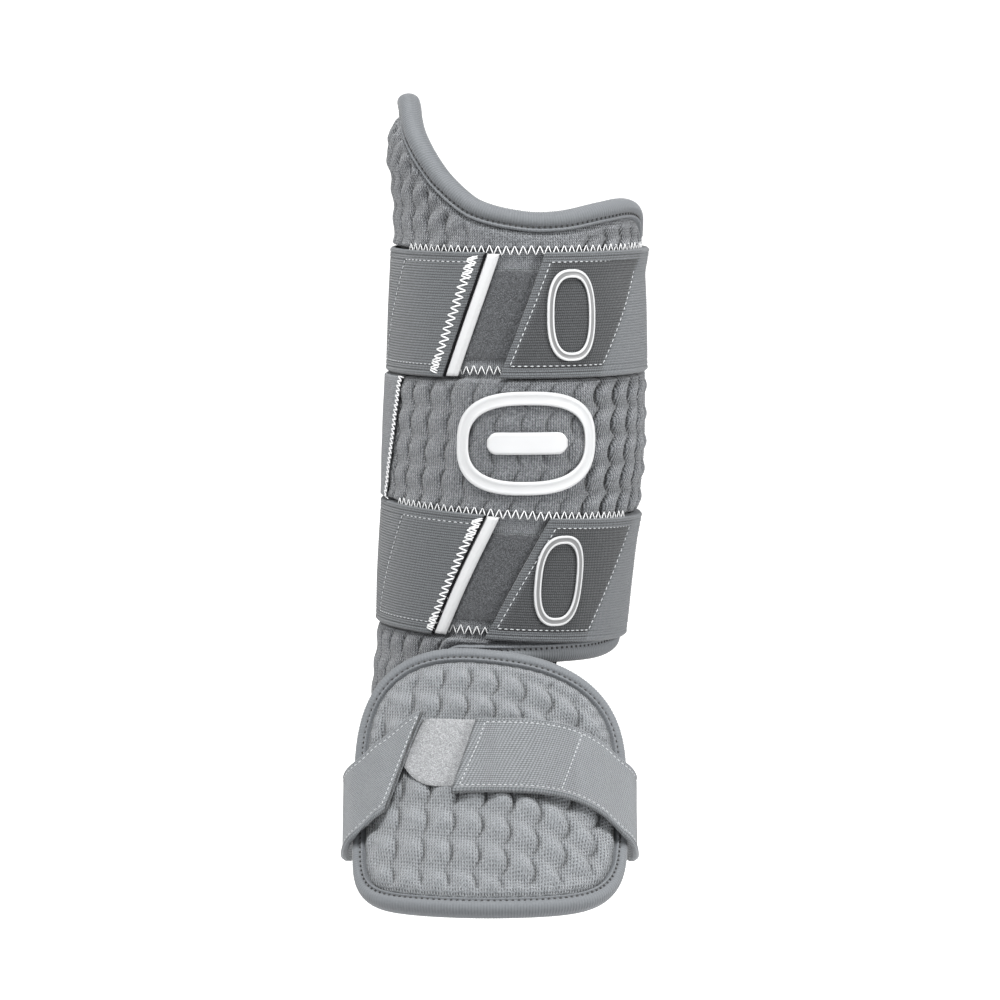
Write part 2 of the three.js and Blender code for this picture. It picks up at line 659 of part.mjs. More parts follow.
add("shin_shell", "knit", shinShell());
add("shin_binding", "binding", shinBinding());
add("side_gusset", "patch", sideGusset());
for (const [name, strap] of Object.entries(straps)) {
  add(`${name}_landing_patch`, "patch", landingPatch(strap));
  add(`${name}_landing_felt`, "felt", landingFelt(strap));
  add(`${name}_strap`, "webbing", calfStrap(strap));
  add(`${name}_strap_end_tab`, "rubber", endTab(strap));
  add(`${name}_strap_badge`, "rubber", strapBadge(strap));
}
add("front_badge_ring", "rubber", frontBadgeRing());
add("front_badge_bar", "rubber", frontBadgeBar());
add("instep_pad", "padKnit", instepPad());
add("instep_binding", "binding", instepBinding());
add("instep_felt", "footFelt", instepFelt());
add("instep_strap", "footWebbing", instepStrap());
add("link_tab", "link", linkTab());

export default guard;
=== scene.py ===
"""A batter's leg guard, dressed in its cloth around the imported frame: an embossed shin shell and instep
guard with ribbed bindings, elastic straps, pile, stitching and moulded badges.

Lengths in the tables and formulas are millimetres, and every mesh is written in metres.
"""

import math

import bmesh
import bpy
import numpy as np
from bpy.props import FloatProperty, FloatVectorProperty, PointerProperty
from mathutils import Matrix, Vector


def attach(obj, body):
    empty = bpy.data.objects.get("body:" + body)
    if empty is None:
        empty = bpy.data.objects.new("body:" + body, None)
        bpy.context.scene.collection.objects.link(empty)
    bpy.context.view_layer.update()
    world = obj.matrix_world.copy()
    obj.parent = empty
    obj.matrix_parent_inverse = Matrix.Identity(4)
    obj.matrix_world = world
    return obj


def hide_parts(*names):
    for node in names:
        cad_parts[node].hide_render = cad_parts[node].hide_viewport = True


bl_info = {
    "name": "Leg Guard",
    "version": (1, 0, 0),
    "blender": (4, 5, 0),
    "location": "View3D > Sidebar > Leg Guard",
    "description": "Builds the cloth, straps, stitching and badges of a batter's leg guard",
    "category": "Add Mesh",
}

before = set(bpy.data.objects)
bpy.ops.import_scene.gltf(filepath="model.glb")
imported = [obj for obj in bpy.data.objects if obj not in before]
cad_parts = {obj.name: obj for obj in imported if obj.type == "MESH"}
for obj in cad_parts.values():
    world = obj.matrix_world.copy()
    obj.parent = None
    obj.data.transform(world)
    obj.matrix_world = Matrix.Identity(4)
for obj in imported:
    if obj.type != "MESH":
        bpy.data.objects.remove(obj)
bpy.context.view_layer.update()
MM = 0.001
BODY = "root"

# Shin shell
LEG_HALF_WIDTH = 54.0
LEG_HALF_DEPTH = 58.0
LEG_ARC = 57.0  # mean radius that the cloth is measured round
SHELL_RISE = 134.0
SHELL_DROP = 120.0
SHELL_FRONT_RISE = 87.0
SHELL_FRONT_DROP = 80.0
SHELL_WALL = 7.5
SHELL_CORNER = 14.0
WING_EDGE_ANGLE = 119.0
PLAIN_EDGE_ANGLE = 95.0
CORNER_TURN = math.degrees(SHELL_CORNER / LEG_HALF_WIDTH)
CORNER_SHARE = 0.067  # of the shell's length round, for each corner arc

SECTIONS = {
    "height": [-1.0, -0.75, -0.6, -0.4, -0.17, 0, 0.4, 0.66, 0.78, 0.88, 0.94, 1.02, 1.1],
    "centre": [-0.21, -0.17, -0.115, -0.08, -0.03, -0.003, 0.01, 0.008, 0, 0, 0.006, 0.02, 0.03],
    "width": [0.915, 0.935, 0.948, 0.967, 0.985, 0.992, 0.972, 0.945, 0.955, 0.985, 0.962, 0.885, 0.85],
}
TOP_EDGE = {
    "turn": [-119, -108, -92, -75, -59, -43, -24, 0, 20, 47, 68, 95],
    "share": [0.76, 0.9, 0.99, 0.95, 0.73, 0.38, 0.12, 0.01, 0, 0.07, 0.085, -0.03],
}
BOTTOM_EDGE = {
    "turn": [-119, -98, -70, -50, -36, -25, -12, 30, 60, 95],
    "share": [0.85, 1.0, 1.0, 0.86, 0.42, 0.05, 0, 0, 0, -0.06],
}

# Calf straps: both ends as turns at the upper and lower edge, and what is sewn on them
STRAP_WIDTH = 50.8
STRAP_THICKNESS = 1.9
STRAP_SINK = 3.6
STRAP_SINK_FADE = 1.7
STRAPS = {
    "upper": {
        "height": 53.6,
        "tilt": 0.0,
        "wing": (-14.5, -33.6),
        "plain": (12.6, -8.0),
        "patch": (-60.0, 86.0),
        "wing_stitch": (-61.0, -82.7, -22.7, -39.8),
        "plain_stitch": (14.6, -3.2, 67.3, 40.0),
        "zigzag": (-19.4, -39.5),
        "flare": 2.2,
    },
    "lower": {
        "height": -53.0,
        "tilt": 3.1,
        "wing": (-11.5, -33.0),
        "plain": (17.7, -8.0),
        "patch": (-62.0, 62.0),
        "wing_stitch": (-55.1, -74.6, -15.1, -35.0),
        "plain_stitch": (20.1, -2.4, 66.1, 42.3),
        "zigzag": (-13.5, -34.6),
        "flare": 0.6,
    },
}
STITCH_STEP = (21.4, -20.4)  # the sewn lines above and below a strap's middle

# Layers on the shell
GAP = 0.4
PATCH_THICKNESS = 0.7
PATCH_HEIGHT = 49.0
PATCH_LIFT = 2.0
FELT_THICKNESS = 0.8
FELT_HEIGHT = 36.0
FELT_REACH = (-40.0, 30.0)
FELT_INSIDE = GAP + PATCH_THICKNESS + GAP
STRAP_INSIDE = FELT_INSIDE + FELT_THICKNESS + GAP
STRAP_OUTSIDE = STRAP_INSIDE + STRAP_THICKNESS
END_TAB_WIDTH = 5.7
END_TAB_TRIM = 1.2
END_TAB_THICKNESS = 1.6
GUSSET_THICKNESS = 1.0
GUSSET_SEAM = (-61.0, -74.0)  # turns of its front edge, at its top and bottom

# Bindings: the section as shares across from the wall and out of half the thickness
BINDING_WIDTH = 8.4
BINDING_THICKNESS = 9.2
BINDING_SQUEEZE = 0.6
PAD_BINDING_WIDTH = 7.0
PAD_BINDING_THICKNESS = 8.4
BINDING_SECTION = [
    (-0.16, -0.3), (-0.16, 0.3), (0.0, 0.5), (0.015, 0.66), (0.05, 0.82), (0.1, 0.88), (0.15, 0.84),
    (0.18, 0.74), (0.235, 0.72), (0.29, 0.76), (0.32, 0.84), (0.38, 0.92), (0.46, 0.98), (0.56, 1.0),
    (0.67, 0.96), (0.78, 0.86), (0.87, 0.71), (0.94, 0.5), (0.985, 0.25), (1.0, 0.0), (0.985, -0.27),
    (0.93, -0.53), (0.84, -0.76), (0.7, -0.93), (0.52, -1.0), (0.34, -0.9), (0.24, -0.64),
    (0.16, -0.84), (0.05, -0.8),
]  # fmt: skip
GROOVE_SHARE = 0.235  # where the binding's sewn groove lies across it
GROOVE_RISE = 0.76  # of half the thickness, where its dashes lie
RIB_RELIEF = 0.035  # of the binding's size, for each rib
DASH_PITCH = 2.3
DASH_LENGTH = 1.2
DASH_WIDTH = 1.2

# What is sewn on the calf straps
STITCH_REACH = 20.9  # half the height of a sewn box
END_TAB_FOLD = (0.6, 0.12)  # where the pull tab's fold starts across it, and how wide its step is
PIPING_ENDS = (-0.3, 0.75)  # from the strap's slanted end
PIPING_LIFT = 0.9
PIPING_THICKNESS = 1.5
PIPING_BEAD = 1.4
PATCH_ZIGZAGS = ((26.2, 0.6), (-22.4, 0.1))  # heights above a strap's middle, and lifts off the patch
TAB_ZIGZAG_REACH = 24.0
TAB_BARTACKS = ((0.8, 0.985), (0.02, 0.14))  # shares of the zigzag's way that are sewn twice

# Badges
BADGE_TURN = 5.0
BADGE_LIFT = 2.0
BADGE_SIZE = (64.0, 42.0)
BADGE_RIM = 5.5
BADGE_THICKNESS = 1.4
BADGE_INSIDE = 0.45  # how far its back stands off the shell's face
BADGE_BAR = (36.0, 9.0)
BADGE_SQUARENESS = 2.6
STRAP_BADGE_TURN = 24.0
STRAP_BADGE_SIZE = (25.0, 37.0)
STRAP_BADGE_RIM = 3.4
STRAP_BADGE_THICKNESS = 0.8
STRAP_BADGE_BAND = 0.28  # the shade of its band
BAR_END = 0.3
RIM_SECTION = [
    (0.0, 0.0), (0.0, 0.55), (0.03, 0.82), (0.09, 0.96), (0.17, 1.0), (0.24, 1.0), (0.3, 0.86),
    (0.5, 0.84), (0.7, 0.86), (0.76, 1.0), (0.83, 1.0), (0.91, 0.96), (0.97, 0.82), (1.0, 0.55),
    (1.0, 0.0), (0.5, 0.0),
]  # fmt: skip

# Scales, right of and above the front's middle or the instep guard's centre
SHIN_SCALE_START = (2.3, 14.85)
SHIN_SCALE_SLANT = 0.098
PAD_SCALE_START = (-1.2, -1.5)
PAD_SCALE_SLANT = 0.12
PAD_ROW_FALL = 0.0061  # how fast the rows fall towards the plain side
GATHER_PITCH = 7.5
PAD_PUCKERS = 54  # round the instep guard's seam

# Instep guard
PAD_CENTRE_X = -10.5
PAD_HALF_WIDTH = 52.0
PAD_HALF_RISE = 41.2
PAD_DROP = 4.5
PAD_FORWARD = 9.5
PAD_SLANT = 0.09
PAD_LEAN = 0.9
PAD_BOW = 3.7
PAD_WRAP = 55.0
PAD_WRAP_SPREAD = 1.25
PAD_THICKNESS = 12.0
PAD_EDGE_THICKNESS = 7.0
PAD_RIM_DIP = 2.6
PAD_CORNERS = {"upper_wing": 2.4, "upper_plain": 2.45, "lower_wing": 11.0, "lower_plain": 7.0}
PAD_CENTRE_Z = -SHELL_FRONT_DROP - PAD_DROP - PAD_HALF_RISE
PAD_REACH = LEG_HALF_DEPTH + PAD_FORWARD + PAD_LEAN * PAD_HALF_RISE - PAD_BOW

# Instep strap
FOOT_STRAP_WIDTH = 35.0
FOOT_STRAP_THICKNESS = 2.0
FOOT_STRAP_CLEARANCE = {"wing": 3.0, "plain": 2.7}
FOOT_STRAP_DEPTH = 158.0
FOOT_STRAP_DROP = 29.5
FOOT_STRAP_LIFT = 5.2
FOOT_FELT_THICKNESS = 0.9
FOOT_FELT_REACH = (-34.0, 2.0)
FOOT_FELT_HEIGHT = 24.0
FOOT_FELT_ROUNDING = 12.0
FELT_END = 0.75
FOOT_STRAP_INSIDE = GAP + FOOT_FELT_THICKNESS + GAP
FOOT_STRAP_PATH = {
    "across": [0, 0.35, 0.62, 0.83, 0.97, 1.01, 1.0, 0.97, 0.84, 0.5, 0],
    "back": [0, 0.014, 0.05, 0.096, 0.158, 0.25, 0.4, 0.58, 0.78, 0.95, 1.0],
    "drop": [0, 0.03, 0.15, 0.37, 0.66, 0.86, 1.0, 1.1, 1.22, 1.36, 1.42],
    "hug": [1, 1, 1, 1, 0.94, 0.7, 0.35, 0.13, 0.05, 0, 0],
}
FOOT_STRAP_ENDS = {"wing": (1.45, 2.6), "plain": (0.35, 0.8)}
FOOT_STRAP_ROUND = 2 * (len(FOOT_STRAP_PATH["across"]) - 1)
FOOT_STRAP_ROW = 19.5  # length of a row of the path, on average
FOOT_STRAP_TIP = 0.13  # how much higher the wing-side end's point reaches, as a share of the width
FOOT_STITCH = (2.2, 1.5)  # pitch and length

# Link tab: its way from the guard's back to the inside of the shell
LINK_HALF_WIDTH = 27.0
LINK_SHIFT = 6.0
LINK_CLEARANCE = 3.8
LINK_THICKNESS = 1.8
LINK_PATH = {
    "pad": [-0.05, 0.22, 0.49, 0.66, 0, 0, 0],
    "drop": [0, 0, 0, 2.6, 1.3, -0.24, -1.9],
    "over": [0, 0, 0, 0.5, 1, 1, 1],
}


def smooth_at(values, place):
    """A smooth value at a place between the rows of a table's column."""
    values = np.asarray(values, float)
    row = np.clip(np.floor(place).astype(int), 0, len(values) - 2)
    a, b, c, d = (values[np.clip(row + step, 0, len(values) - 1)] for step in (-1, 0, 1, 2))
    f = place - row
    return b + 0.5 * f * (c - a + f * (2 * a - 5 * b + 4 * c - d + f * (3 * (b - c) + d - a)))


def look_up(table, key, column, value):
    """A smooth value of a column where the key column has a value."""
    keys = table[key]
    return smooth_at(table[column], np.interp(value, keys, np.arange(len(keys))))


def lerp(a, b, share):
    return a + (b - a) * share


def smooth(share):
    """A share from 0 to 1, eased at both ends."""
    share = np.clip(share, 0, 1)
    return share * share * (3 - 2 * share)


def unit(vectors):
    return vectors / np.maximum(np.linalg.norm(vectors, axis=-1, keepdims=True), 1e-12)


def points_of(x, y, z):
    return np.stack(np.broadcast_arrays(x, y, z), -1)


def near_line(value, line, width):
    """1 on a line and 0 away from it, over about its width."""
    return np.exp(-(((value - line) / width) ** 2))


def lengths(points):
    """The way travelled to each point of a line."""
    return np.concatenate([[0], np.cumsum(np.linalg.norm(np.diff(points, axis=0), axis=1))])


def along_line(points, length, where):
    """The points at travelled lengths along a line."""
    return np.stack([np.interp(where, length, points[:, k]) for k in range(3)], -1)


# The leg


def strap_middle(strap, turn):
    """The height of a calf strap's middle at a turn round the leg."""
    return strap["height"] - strap["tilt"] * np.sin(np.radians(turn))


def sink_at(turn, z):
    """How far the straps press the padding in."""
    past = [np.abs(z - strap_middle(s, turn)) - STRAP_WIDTH / 2 for s in STRAPS.values()]
    return STRAP_SINK * smooth(1 - np.minimum(*past) / STRAP_SINK_FADE)


def leg_point(turn, z, outside, sunk=True):
    """A point outside the shell's face, at degrees round from the front and a height."""
    turn, z, outside = np.broadcast_arrays(turn, z, outside)
    height = z / SHELL_RISE
    centre = LEG_HALF_WIDTH * look_up(SECTIONS, "height", "centre", height)
    width = look_up(SECTIONS, "height", "width", height)
    out = outside - (sink_at(turn, z) if sunk else 0)
    angle = np.radians(turn)
    return points_of(
        centre + (LEG_HALF_WIDTH * width + out) * np.sin(angle),
        -(LEG_HALF_DEPTH * width + out) * np.cos(angle),
        z,
    )


def shell_place(u, v):
    """Turn, height, lower and upper edge of the shell at shares of its length round and its height."""
    near = np.minimum(u, 1 - u)
    arc = math.pi / 2 * np.clip(near / CORNER_SHARE, 0, 1)
    inset = CORNER_TURN * (1 - np.cos(arc))
    rounding = SHELL_CORNER * (1 - np.sin(arc))
    middle = (u - CORNER_SHARE) / (1 - 2 * CORNER_SHARE)
    turn = lerp(-WING_EDGE_ANGLE + CORNER_TURN, PLAIN_EDGE_ANGLE - CORNER_TURN, middle)
    turn = np.where(u < CORNER_SHARE, -WING_EDGE_ANGLE + inset, turn)
    turn = np.where(u > 1 - CORNER_SHARE, PLAIN_EDGE_ANGLE - inset, turn)
    top = lerp(SHELL_FRONT_RISE, SHELL_RISE, look_up(TOP_EDGE, "turn", "share", turn)) - rounding
    bottom = -lerp(SHELL_FRONT_DROP, SHELL_DROP, look_up(BOTTOM_EDGE, "turn", "share", turn)) + rounding
    return turn, lerp(bottom, top, v), bottom, top


# The instep guard


def pad_crown(up):
    return -PAD_REACH + PAD_LEAN * up - PAD_BOW * (up / PAD_HALF_RISE) ** 2


def pad_face(across, up):
    oval = PAD_WRAP_SPREAD * PAD_HALF_WIDTH
    wrap = PAD_WRAP * (1 - np.sqrt(np.maximum(0, 1 - (across / oval) ** 2)))
    return points_of(PAD_CENTRE_X + across, pad_crown(up) + wrap, PAD_CENTRE_Z + up)


def pad_point(across, up, under):
    """A point under the instep guard's face, across and up from its centre."""
    step = 0.5
    along_x = pad_face(across + step, up) - pad_face(across - step, up)
    along_z = pad_face(across, up + step) - pad_face(across, up - step)
    normal = unit(np.cross(along_x, along_z))
    return pad_face(across, up) - normal * np.asarray(under)[..., None]


def pad_plan(s, t):
    """The place across and up of a point of the square from -1 to 1, whose rim becomes the outline."""
    ring = np.maximum(np.maximum(np.abs(s), np.abs(t)), 1e-9)
    angle = np.arctan2(t, s)
    c, d = np.abs(np.cos(angle)), np.abs(np.sin(angle))
    power = np.where(
        t > 0,
        np.where(s > 0, PAD_CORNERS["upper_plain"], PAD_CORNERS["upper_wing"]),
        np.where(s > 0, PAD_CORNERS["lower_plain"], PAD_CORNERS["lower_wing"]),
    )
    radius = ring / (c**power + d**power) ** (1 / power)
    across = PAD_HALF_WIDTH * radius * np.cos(angle)
    rise = radius * np.sin(angle)
    return across, PAD_HALF_RISE * rise - PAD_SLANT * across * np.maximum(0, rise), ring


def foot_strap_point(place, across, outside):
    """A point of the instep strap's loop. A place is counted in rows from the crown, wing side negative."""

    def spot(where):
        row = np.abs(where)
        up = FOOT_STRAP_LIFT - FOOT_STRAP_DROP * smooth_at(FOOT_STRAP_PATH["drop"], row)
        beside = np.where(where < 0, FOOT_STRAP_CLEARANCE["wing"], FOOT_STRAP_CLEARANCE["plain"])
        half = np.where(where < 0, -1, 1) * (PAD_HALF_WIDTH + beside)
        x = PAD_CENTRE_X + half * smooth_at(FOOT_STRAP_PATH["across"], row)
        y = pad_crown(up) + FOOT_STRAP_DEPTH * smooth_at(FOOT_STRAP_PATH["back"], row)
        return x, y, up, smooth_at(FOOT_STRAP_PATH["hug"], row)

    x, y, up, hug = spot(place)
    slope = PAD_LEAN * hug
    rise = FOOT_STRAP_WIDTH * (across - 0.5) / np.hypot(1, slope)
    behind, ahead = spot(place - 0.05), spot(place + 0.05)
    level = unit(points_of(ahead[1] - behind[1], behind[0] - ahead[0], 0 * x))
    level[..., 2] = -slope * level[..., 1]
    face = points_of(x, y + hug * (pad_crown(up + rise) - pad_crown(up)), PAD_CENTRE_Z + up + rise)
    return face + unit(level) * np.asarray(outside)[..., None]


# Relief


def scales(right, up, width, height, slant, curve, depth, crown, skew, knoll):
    """The embossed scales: their height, how deep in a crease a point lies, and how high on a scale.

    Each scale is a low crown whose rounded edge lies over the one beside it, with a crease along it. With
    more skew it is highest near that edge, and with more knoll it bulges more in its upper half.
    """
    row = up / height
    fall = 2 * np.abs(row - np.floor(row) - 0.5)
    column = (right - slant * up) / width - curve * fall**1.9
    place = column - np.floor(column)
    deep = np.cos(fall * math.pi / 2) ** 0.6
    crease = smooth((place - 0.93) / 0.07) + (1 - smooth(place / 0.18)) * (place < 0.93)
    body = np.sin(math.pi * place ** (1 + skew)) ** 0.8
    body = body * (1 - knoll + knoll * np.cos(2 * math.pi * (row - 0.6)))
    return crown * (body - 0.7) - depth * deep * crease, deep * crease, body


def ripples(a, b, size):
    """A soft unevenness, from -1 to 1, that is the same each time."""
    return (
        np.sin(a / size + 1.7 * np.sin(b / (1.3 * size)))
        + np.sin(b / (0.8 * size) + 1.1 * np.cos(a / (1.6 * size)) + 2.0)
        + 0.5 * np.sin((a + b) / (0.45 * size) + 0.7)
    ) / 2.5


# Meshes


def finished(name, bm, place):
    """Moves a mesh's points to what place(x, y, z) gives for them, with their cloth places and shade."""
    mesh = bpy.data.meshes.new(name)
    bm.to_mesh(mesh)
    bm.free()
    count = len(mesh.vertices)
    flat = np.zeros(count * 3, np.float32)
    mesh.vertices.foreach_get("co", flat)
    x, y, z = flat.reshape(-1, 3).T
    points, cloth, shade = place(x, y, z)
    mesh.vertices.foreach_set("co", (points * MM).astype(np.float32).ravel())
    corners = np.zeros(len(mesh.loops), np.int32)
    mesh.loops.foreach_get("vertex_index", corners)
    places = mesh.uv_layers.new(name="cloth")
    places.data.foreach_set("uv", cloth[corners].astype(np.float32).ravel())
    shading = mesh.attributes.new("shade", "FLOAT", "POINT")
    shading.data.foreach_set("value", np.broadcast_to(shade, count).astype(np.float32))
    mesh.update()
    return mesh


def facing_outwards(mesh, seam=False):
    """A closed mesh with its faces turned outwards, once the points along its seam are merged."""
    bm = bmesh.new()
    bm.from_mesh(mesh)
    if seam:
        bmesh.ops.remove_doubles(bm, verts=bm.verts[:], dist=1e-6)
    bmesh.ops.recalc_face_normals(bm, faces=bm.faces[:])
    if bm.calc_volume(signed=True) < 0:
        bmesh.ops.reverse_faces(bm, faces=bm.faces[:])
    bm.to_mesh(mesh)
    bm.free()
    return mesh


def shown(name, mesh, finish, slot, *nodes):
    """Puts a mesh in the scene as a piece that rides with the guard, in place of its nodes."""
    mesh.shade_smooth()
    mesh.materials.append(finish_named(finish))
    piece = bpy.data.objects.new(name, mesh)
    bpy.context.scene.collection.objects.link(piece)
    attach(piece, BODY)
    if nodes:
        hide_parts(*nodes)
    return piece


def slab(name, outer, inner, place):
    """A closed sheet: an outer grid and an inner one, each of (columns, rows), joined round their edges.

    place(u, v, out) gives the points, cloth places and shade at shares of its length and height.
    """
    bm = bmesh.new()
    for level, (columns, rows) in ((1, outer), (0, inner)):
        middle = Matrix.Translation((0.5, 0.5, level))
        bmesh.ops.create_grid(bm, x_segments=columns, y_segments=rows, size=0.5, matrix=middle)
    back = [face for face in bm.faces if face.calc_center_median().z < 0.5]
    bmesh.ops.reverse_faces(bm, faces=back)
    rims = [edge for edge in bm.edges if edge.is_boundary]
    bmesh.ops.bridge_loops(bm, edges=rims)
    mesh = finished(name, bm, lambda x, y, z: place(np.clip(x, 0, 1), np.clip(y, 0, 1), z > 0.5))
    return facing_outwards(mesh)


def roll(name, stations, section, place):
    """A closed roll of a section swept round a loop.

    place(w, k) gives the points, cloth places and shade at a share of the way round and a whole number of
    the section's points.
    """
    sides = len(section)
    bm = bmesh.new()
    middle = Matrix.Translation((0.5, 0.5, 0))
    bmesh.ops.create_grid(bm, x_segments=stations, y_segments=sides, size=0.5, matrix=middle)
    mesh = finished(name, bm, lambda x, y, _: place(x, np.round(y * sides).astype(int) % sides))
    return facing_outwards(mesh, seam=True)


def threads(name, starts, ends, normals, width, rise=0.7):
    """Sewn threads, each a small rounded bar from a start to an end, half sunk in the cloth."""
    bm = bmesh.new()
    for start, end, normal in zip(starts, ends, normals):
        along = Vector(end - start)
        out = Vector(normal)
        side = along.cross(out).normalized()
        out = side.cross(along).normalized()
        turned = Matrix((along.normalized(), side, out)).transposed().to_4x4()
        middle = Matrix.Translation(Vector((start + end) / 2))
        size = Matrix.Diagonal((along.length / 2, width / 2, rise * width / 2, 1))
        bmesh.ops.create_uvsphere(bm, u_segments=6, v_segments=4, radius=1, matrix=middle @ turned @ size)
    return finished(name, bm, lambda x, y, z: (points_of(x, y, z), np.stack([x + y, z], -1), 1.0))


def path_frame(surface, path, lift):
    """Points, directions and normals of a fine line through a path's places on a surface."""
    path = np.asarray(path, float)
    steps = lengths(path)
    fine = np.linspace(0, steps[-1], 1200)
    a, b = np.interp(fine, steps, path[:, 0]), np.interp(fine, steps, path[:, 1])
    points = surface(a, b, lift)
    out = unit(surface(a, b, lift + 1.0) - points)
    return points, out, lengths(points)


def at_length(points, out, length, where):
    """The points and normals at travelled lengths along a path."""
    return along_line(points, length, where), unit(along_line(out, length, where))


def straight_stitch(surface, path, lift, pitch, long):
    """Starts, ends and normals of a row of straight stitches."""
    points, out, length = path_frame(surface, path, lift)
    count = max(2, round(length[-1] / pitch))
    middles = (np.arange(count) + 0.5) * length[-1] / count
    starts, normals = at_length(points, out, length, middles - long / 2)
    ends, _ = at_length(points, out, length, middles + long / 2)
    return starts, ends, normals


def zigzag_stitch(surface, path, lift, pitch, wide, level=False):
    """Starts, ends and normals of a zigzag along a path, with its teeth a pitch apart.

    They swing across the path, or level where it slants.
    """
    points, out, length = path_frame(surface, path, lift)
    count = 2 * round(length[-1] / pitch)
    tooth = np.arange(count + 1)
    where = tooth * length[-1] / count
    middles, normals = at_length(points, out, length, where)
    ahead, _ = at_length(points, out, length, where + 0.2)
    behind, _ = at_length(points, out, length, where - 0.2)
    up = (0, 0, 1) if level else ahead - behind
    side = unit(np.cross(up, normals))
    uneven = 1 + 0.1 * np.sin(12.9898 * tooth) * np.cos(4.1414 * tooth)
    swing = (np.where(tooth % 2 == 0, 0.5, -0.5) * uneven)[:, None] * wide
    teeth = middles + side * swing
    return teeth[:-1], teeth[1:], normals[:-1]


def joined(*rows):
    """Rows of stitches as one."""
    return [np.concatenate(part) for part in zip(*rows)]


# Materials


class Wire:
    """A value in a material, so that shader maths reads as a Python expression."""

    def __init__(self, look, socket):
        self.look = look
        self.socket = socket

    def __add__(self, other):
        return maths("ADD", self, other)

    def __sub__(self, other):
        return maths("SUBTRACT", self, other)

    def __rsub__(self, other):
        return maths("SUBTRACT", other, self)

    def __mul__(self, other):
        return maths("MULTIPLY", self, other)

    __radd__ = __add__
    __rmul__ = __mul__


def maths(operation, *values):
    """A Math node's result for values, of which at least one is a Wire."""
    look = next(value.look for value in values if isinstance(value, Wire))
    return look.node("ShaderNodeMath", {"operation": operation}, dict(enumerate(values)))


class Look:
    """A material and the nodes that make its finish."""

    def __init__(self, name, **constants):
        self.material = bpy.data.materials.new(name)
        self.material.use_nodes = True
        self.nodes = self.material.node_tree.nodes
        self.surface = self.nodes["Principled BSDF"]
        for socket, value in constants.items():
            self.put(self.surface.inputs[socket.replace("_", " ")], value)

    def put(self, socket, value):
        """Links a Wire to a socket, or sets the socket to a number or colour."""
        if isinstance(value, Wire):
            self.material.node_tree.links.new(value.socket, socket)
        elif hasattr(value, "__len__") and len(value) == 3 and socket.type == "RGBA":
            socket.default_value = (*value, 1)
        else:
            socket.default_value = value

    def node(self, kind, settings=None, sockets=None, out=0):
        """A new node's output, with its settings set before its sockets."""
        made = self.nodes.new(kind)
        for setting, value in (settings or {}).items():
            setattr(made, setting, value)
        for socket, value in (sockets or {}).items():
            self.put(made.inputs[socket], value)
        return Wire(self, made.outputs[out])

    def cloth(self):
        """Millimetres along and across the cloth."""
        place = self.node("ShaderNodeUVMap", {"uv_map": "cloth"})
        along = self.node("ShaderNodeSeparateXYZ", None, {0: place})
        return along, Wire(self, along.socket.node.outputs[1])

    def noise(self, size, detail=3.0, stretch=(1, 1, 1)):
        """Soft noise from 0 to 1 whose patches are about size millimetres wide."""
        where = self.node("ShaderNodeTexCoord", None, None, "Object")
        scaled = self.node("ShaderNodeMapping", None, {"Vector": where, "Scale": stretch})
        sockets = {"Vector": scaled, "Scale": 1 / (size * MM), "Detail": detail}
        return self.node("ShaderNodeTexNoise", None, sockets)

    def shade(self):
        """The mesh's shade attribute, 1 where the cloth has its plain colour: its own darker or paler parts,
        with painted shade and painted highlights.
        """
        return self.node("ShaderNodeAttribute", {"attribute_name": "shade"}, None, "Fac")

    def mix(self, share, first, second):
        """A colour between two."""
        sockets = {0: share, 6: first, 7: second}
        return self.node("ShaderNodeMix", {"data_type": "RGBA"}, sockets, 2)

    def scaled(self, colour, share):
        """A colour made darker by a share of it."""
        return self.mix(share, (0.0, 0.0, 0.0), colour)

    def base(self, value):
        self.put(self.surface.inputs["Base Color"], value)

    def bump(self, height, distance, strength=1.0):
        sockets = {"Height": height, "Distance": distance * MM, "Strength": strength}
        made = self.node("ShaderNodeBump", None, sockets)
        self.put(self.surface.inputs["Normal"], made)


def wave(value, pitch):
    """A ripple from 0 to 1 along a length, one for each pitch."""
    return maths("SINE", value * (2 * math.pi / pitch)) * 0.5 + 0.5


def knit_look(name, colour, fleck, wale, course):
    """Knit cloth: columns of V-shaped stitches, flecked, with painted shade in its hollows."""
    look = Look(name, Roughness=0.88, Sheen_Weight=0.2, Sheen_Roughness=0.5, Specular_IOR_Level=0.3)
    along, across = look.cloth()
    arm = maths("ABSOLUTE", maths("FRACT", along * (1 / wale)) - 0.5)
    loops = wave(across + arm * (1.1 * course), course)
    height = loops * 0.38 + maths("POWER", 1 - arm * 1.9, 0.7) * 0.75
    patches = look.noise(5.0)
    fibres = look.noise(0.8, 4.0)
    look.bump(height + fibres * 0.6, 0.8)
    # Painted shade: the tone falls with the stitch height, darkening the hollows between the loops; fibres
    # and patches vary it at random.
    tone = look.shade() * (-0.32 + height * 1.55 + fibres * 0.65) * (0.88 + patches * 0.24)
    tinted = look.mix(fibres * 2.2 - 0.95, colour, fleck)
    look.base(look.scaled(tinted, tone))
    return look.material


def webbing_look(name, colour, rib, cord, ridge, sheen):
    """Elastic webbing: fine ribs along it, crossed by its cords. A ridge near 1 makes the ribs stand out."""
    look = Look(name, Roughness=0.8, Sheen_Weight=sheen, Sheen_Roughness=0.5, Specular_IOR_Level=2 * sheen)
    along, across = look.cloth()
    row = maths("FLOOR", across * (1 / rib) + 0.25)
    ribs = wave(across, rib)
    cords = wave(along + row * (0.3 * cord), cord)
    fibres = look.noise(0.7, 3.0)
    patches = look.noise(7.0)
    look.bump(cords * 0.5 + fibres * 0.7, 0.3)
    weave = ribs * ridge * (0.7 + cords * 0.6) + cords * (0.8 * (1 - ridge)) + fibres * 0.6
    look.base(look.scaled(colour, look.shade() * weave * (0.9 + patches * 0.2)))
    return look.material


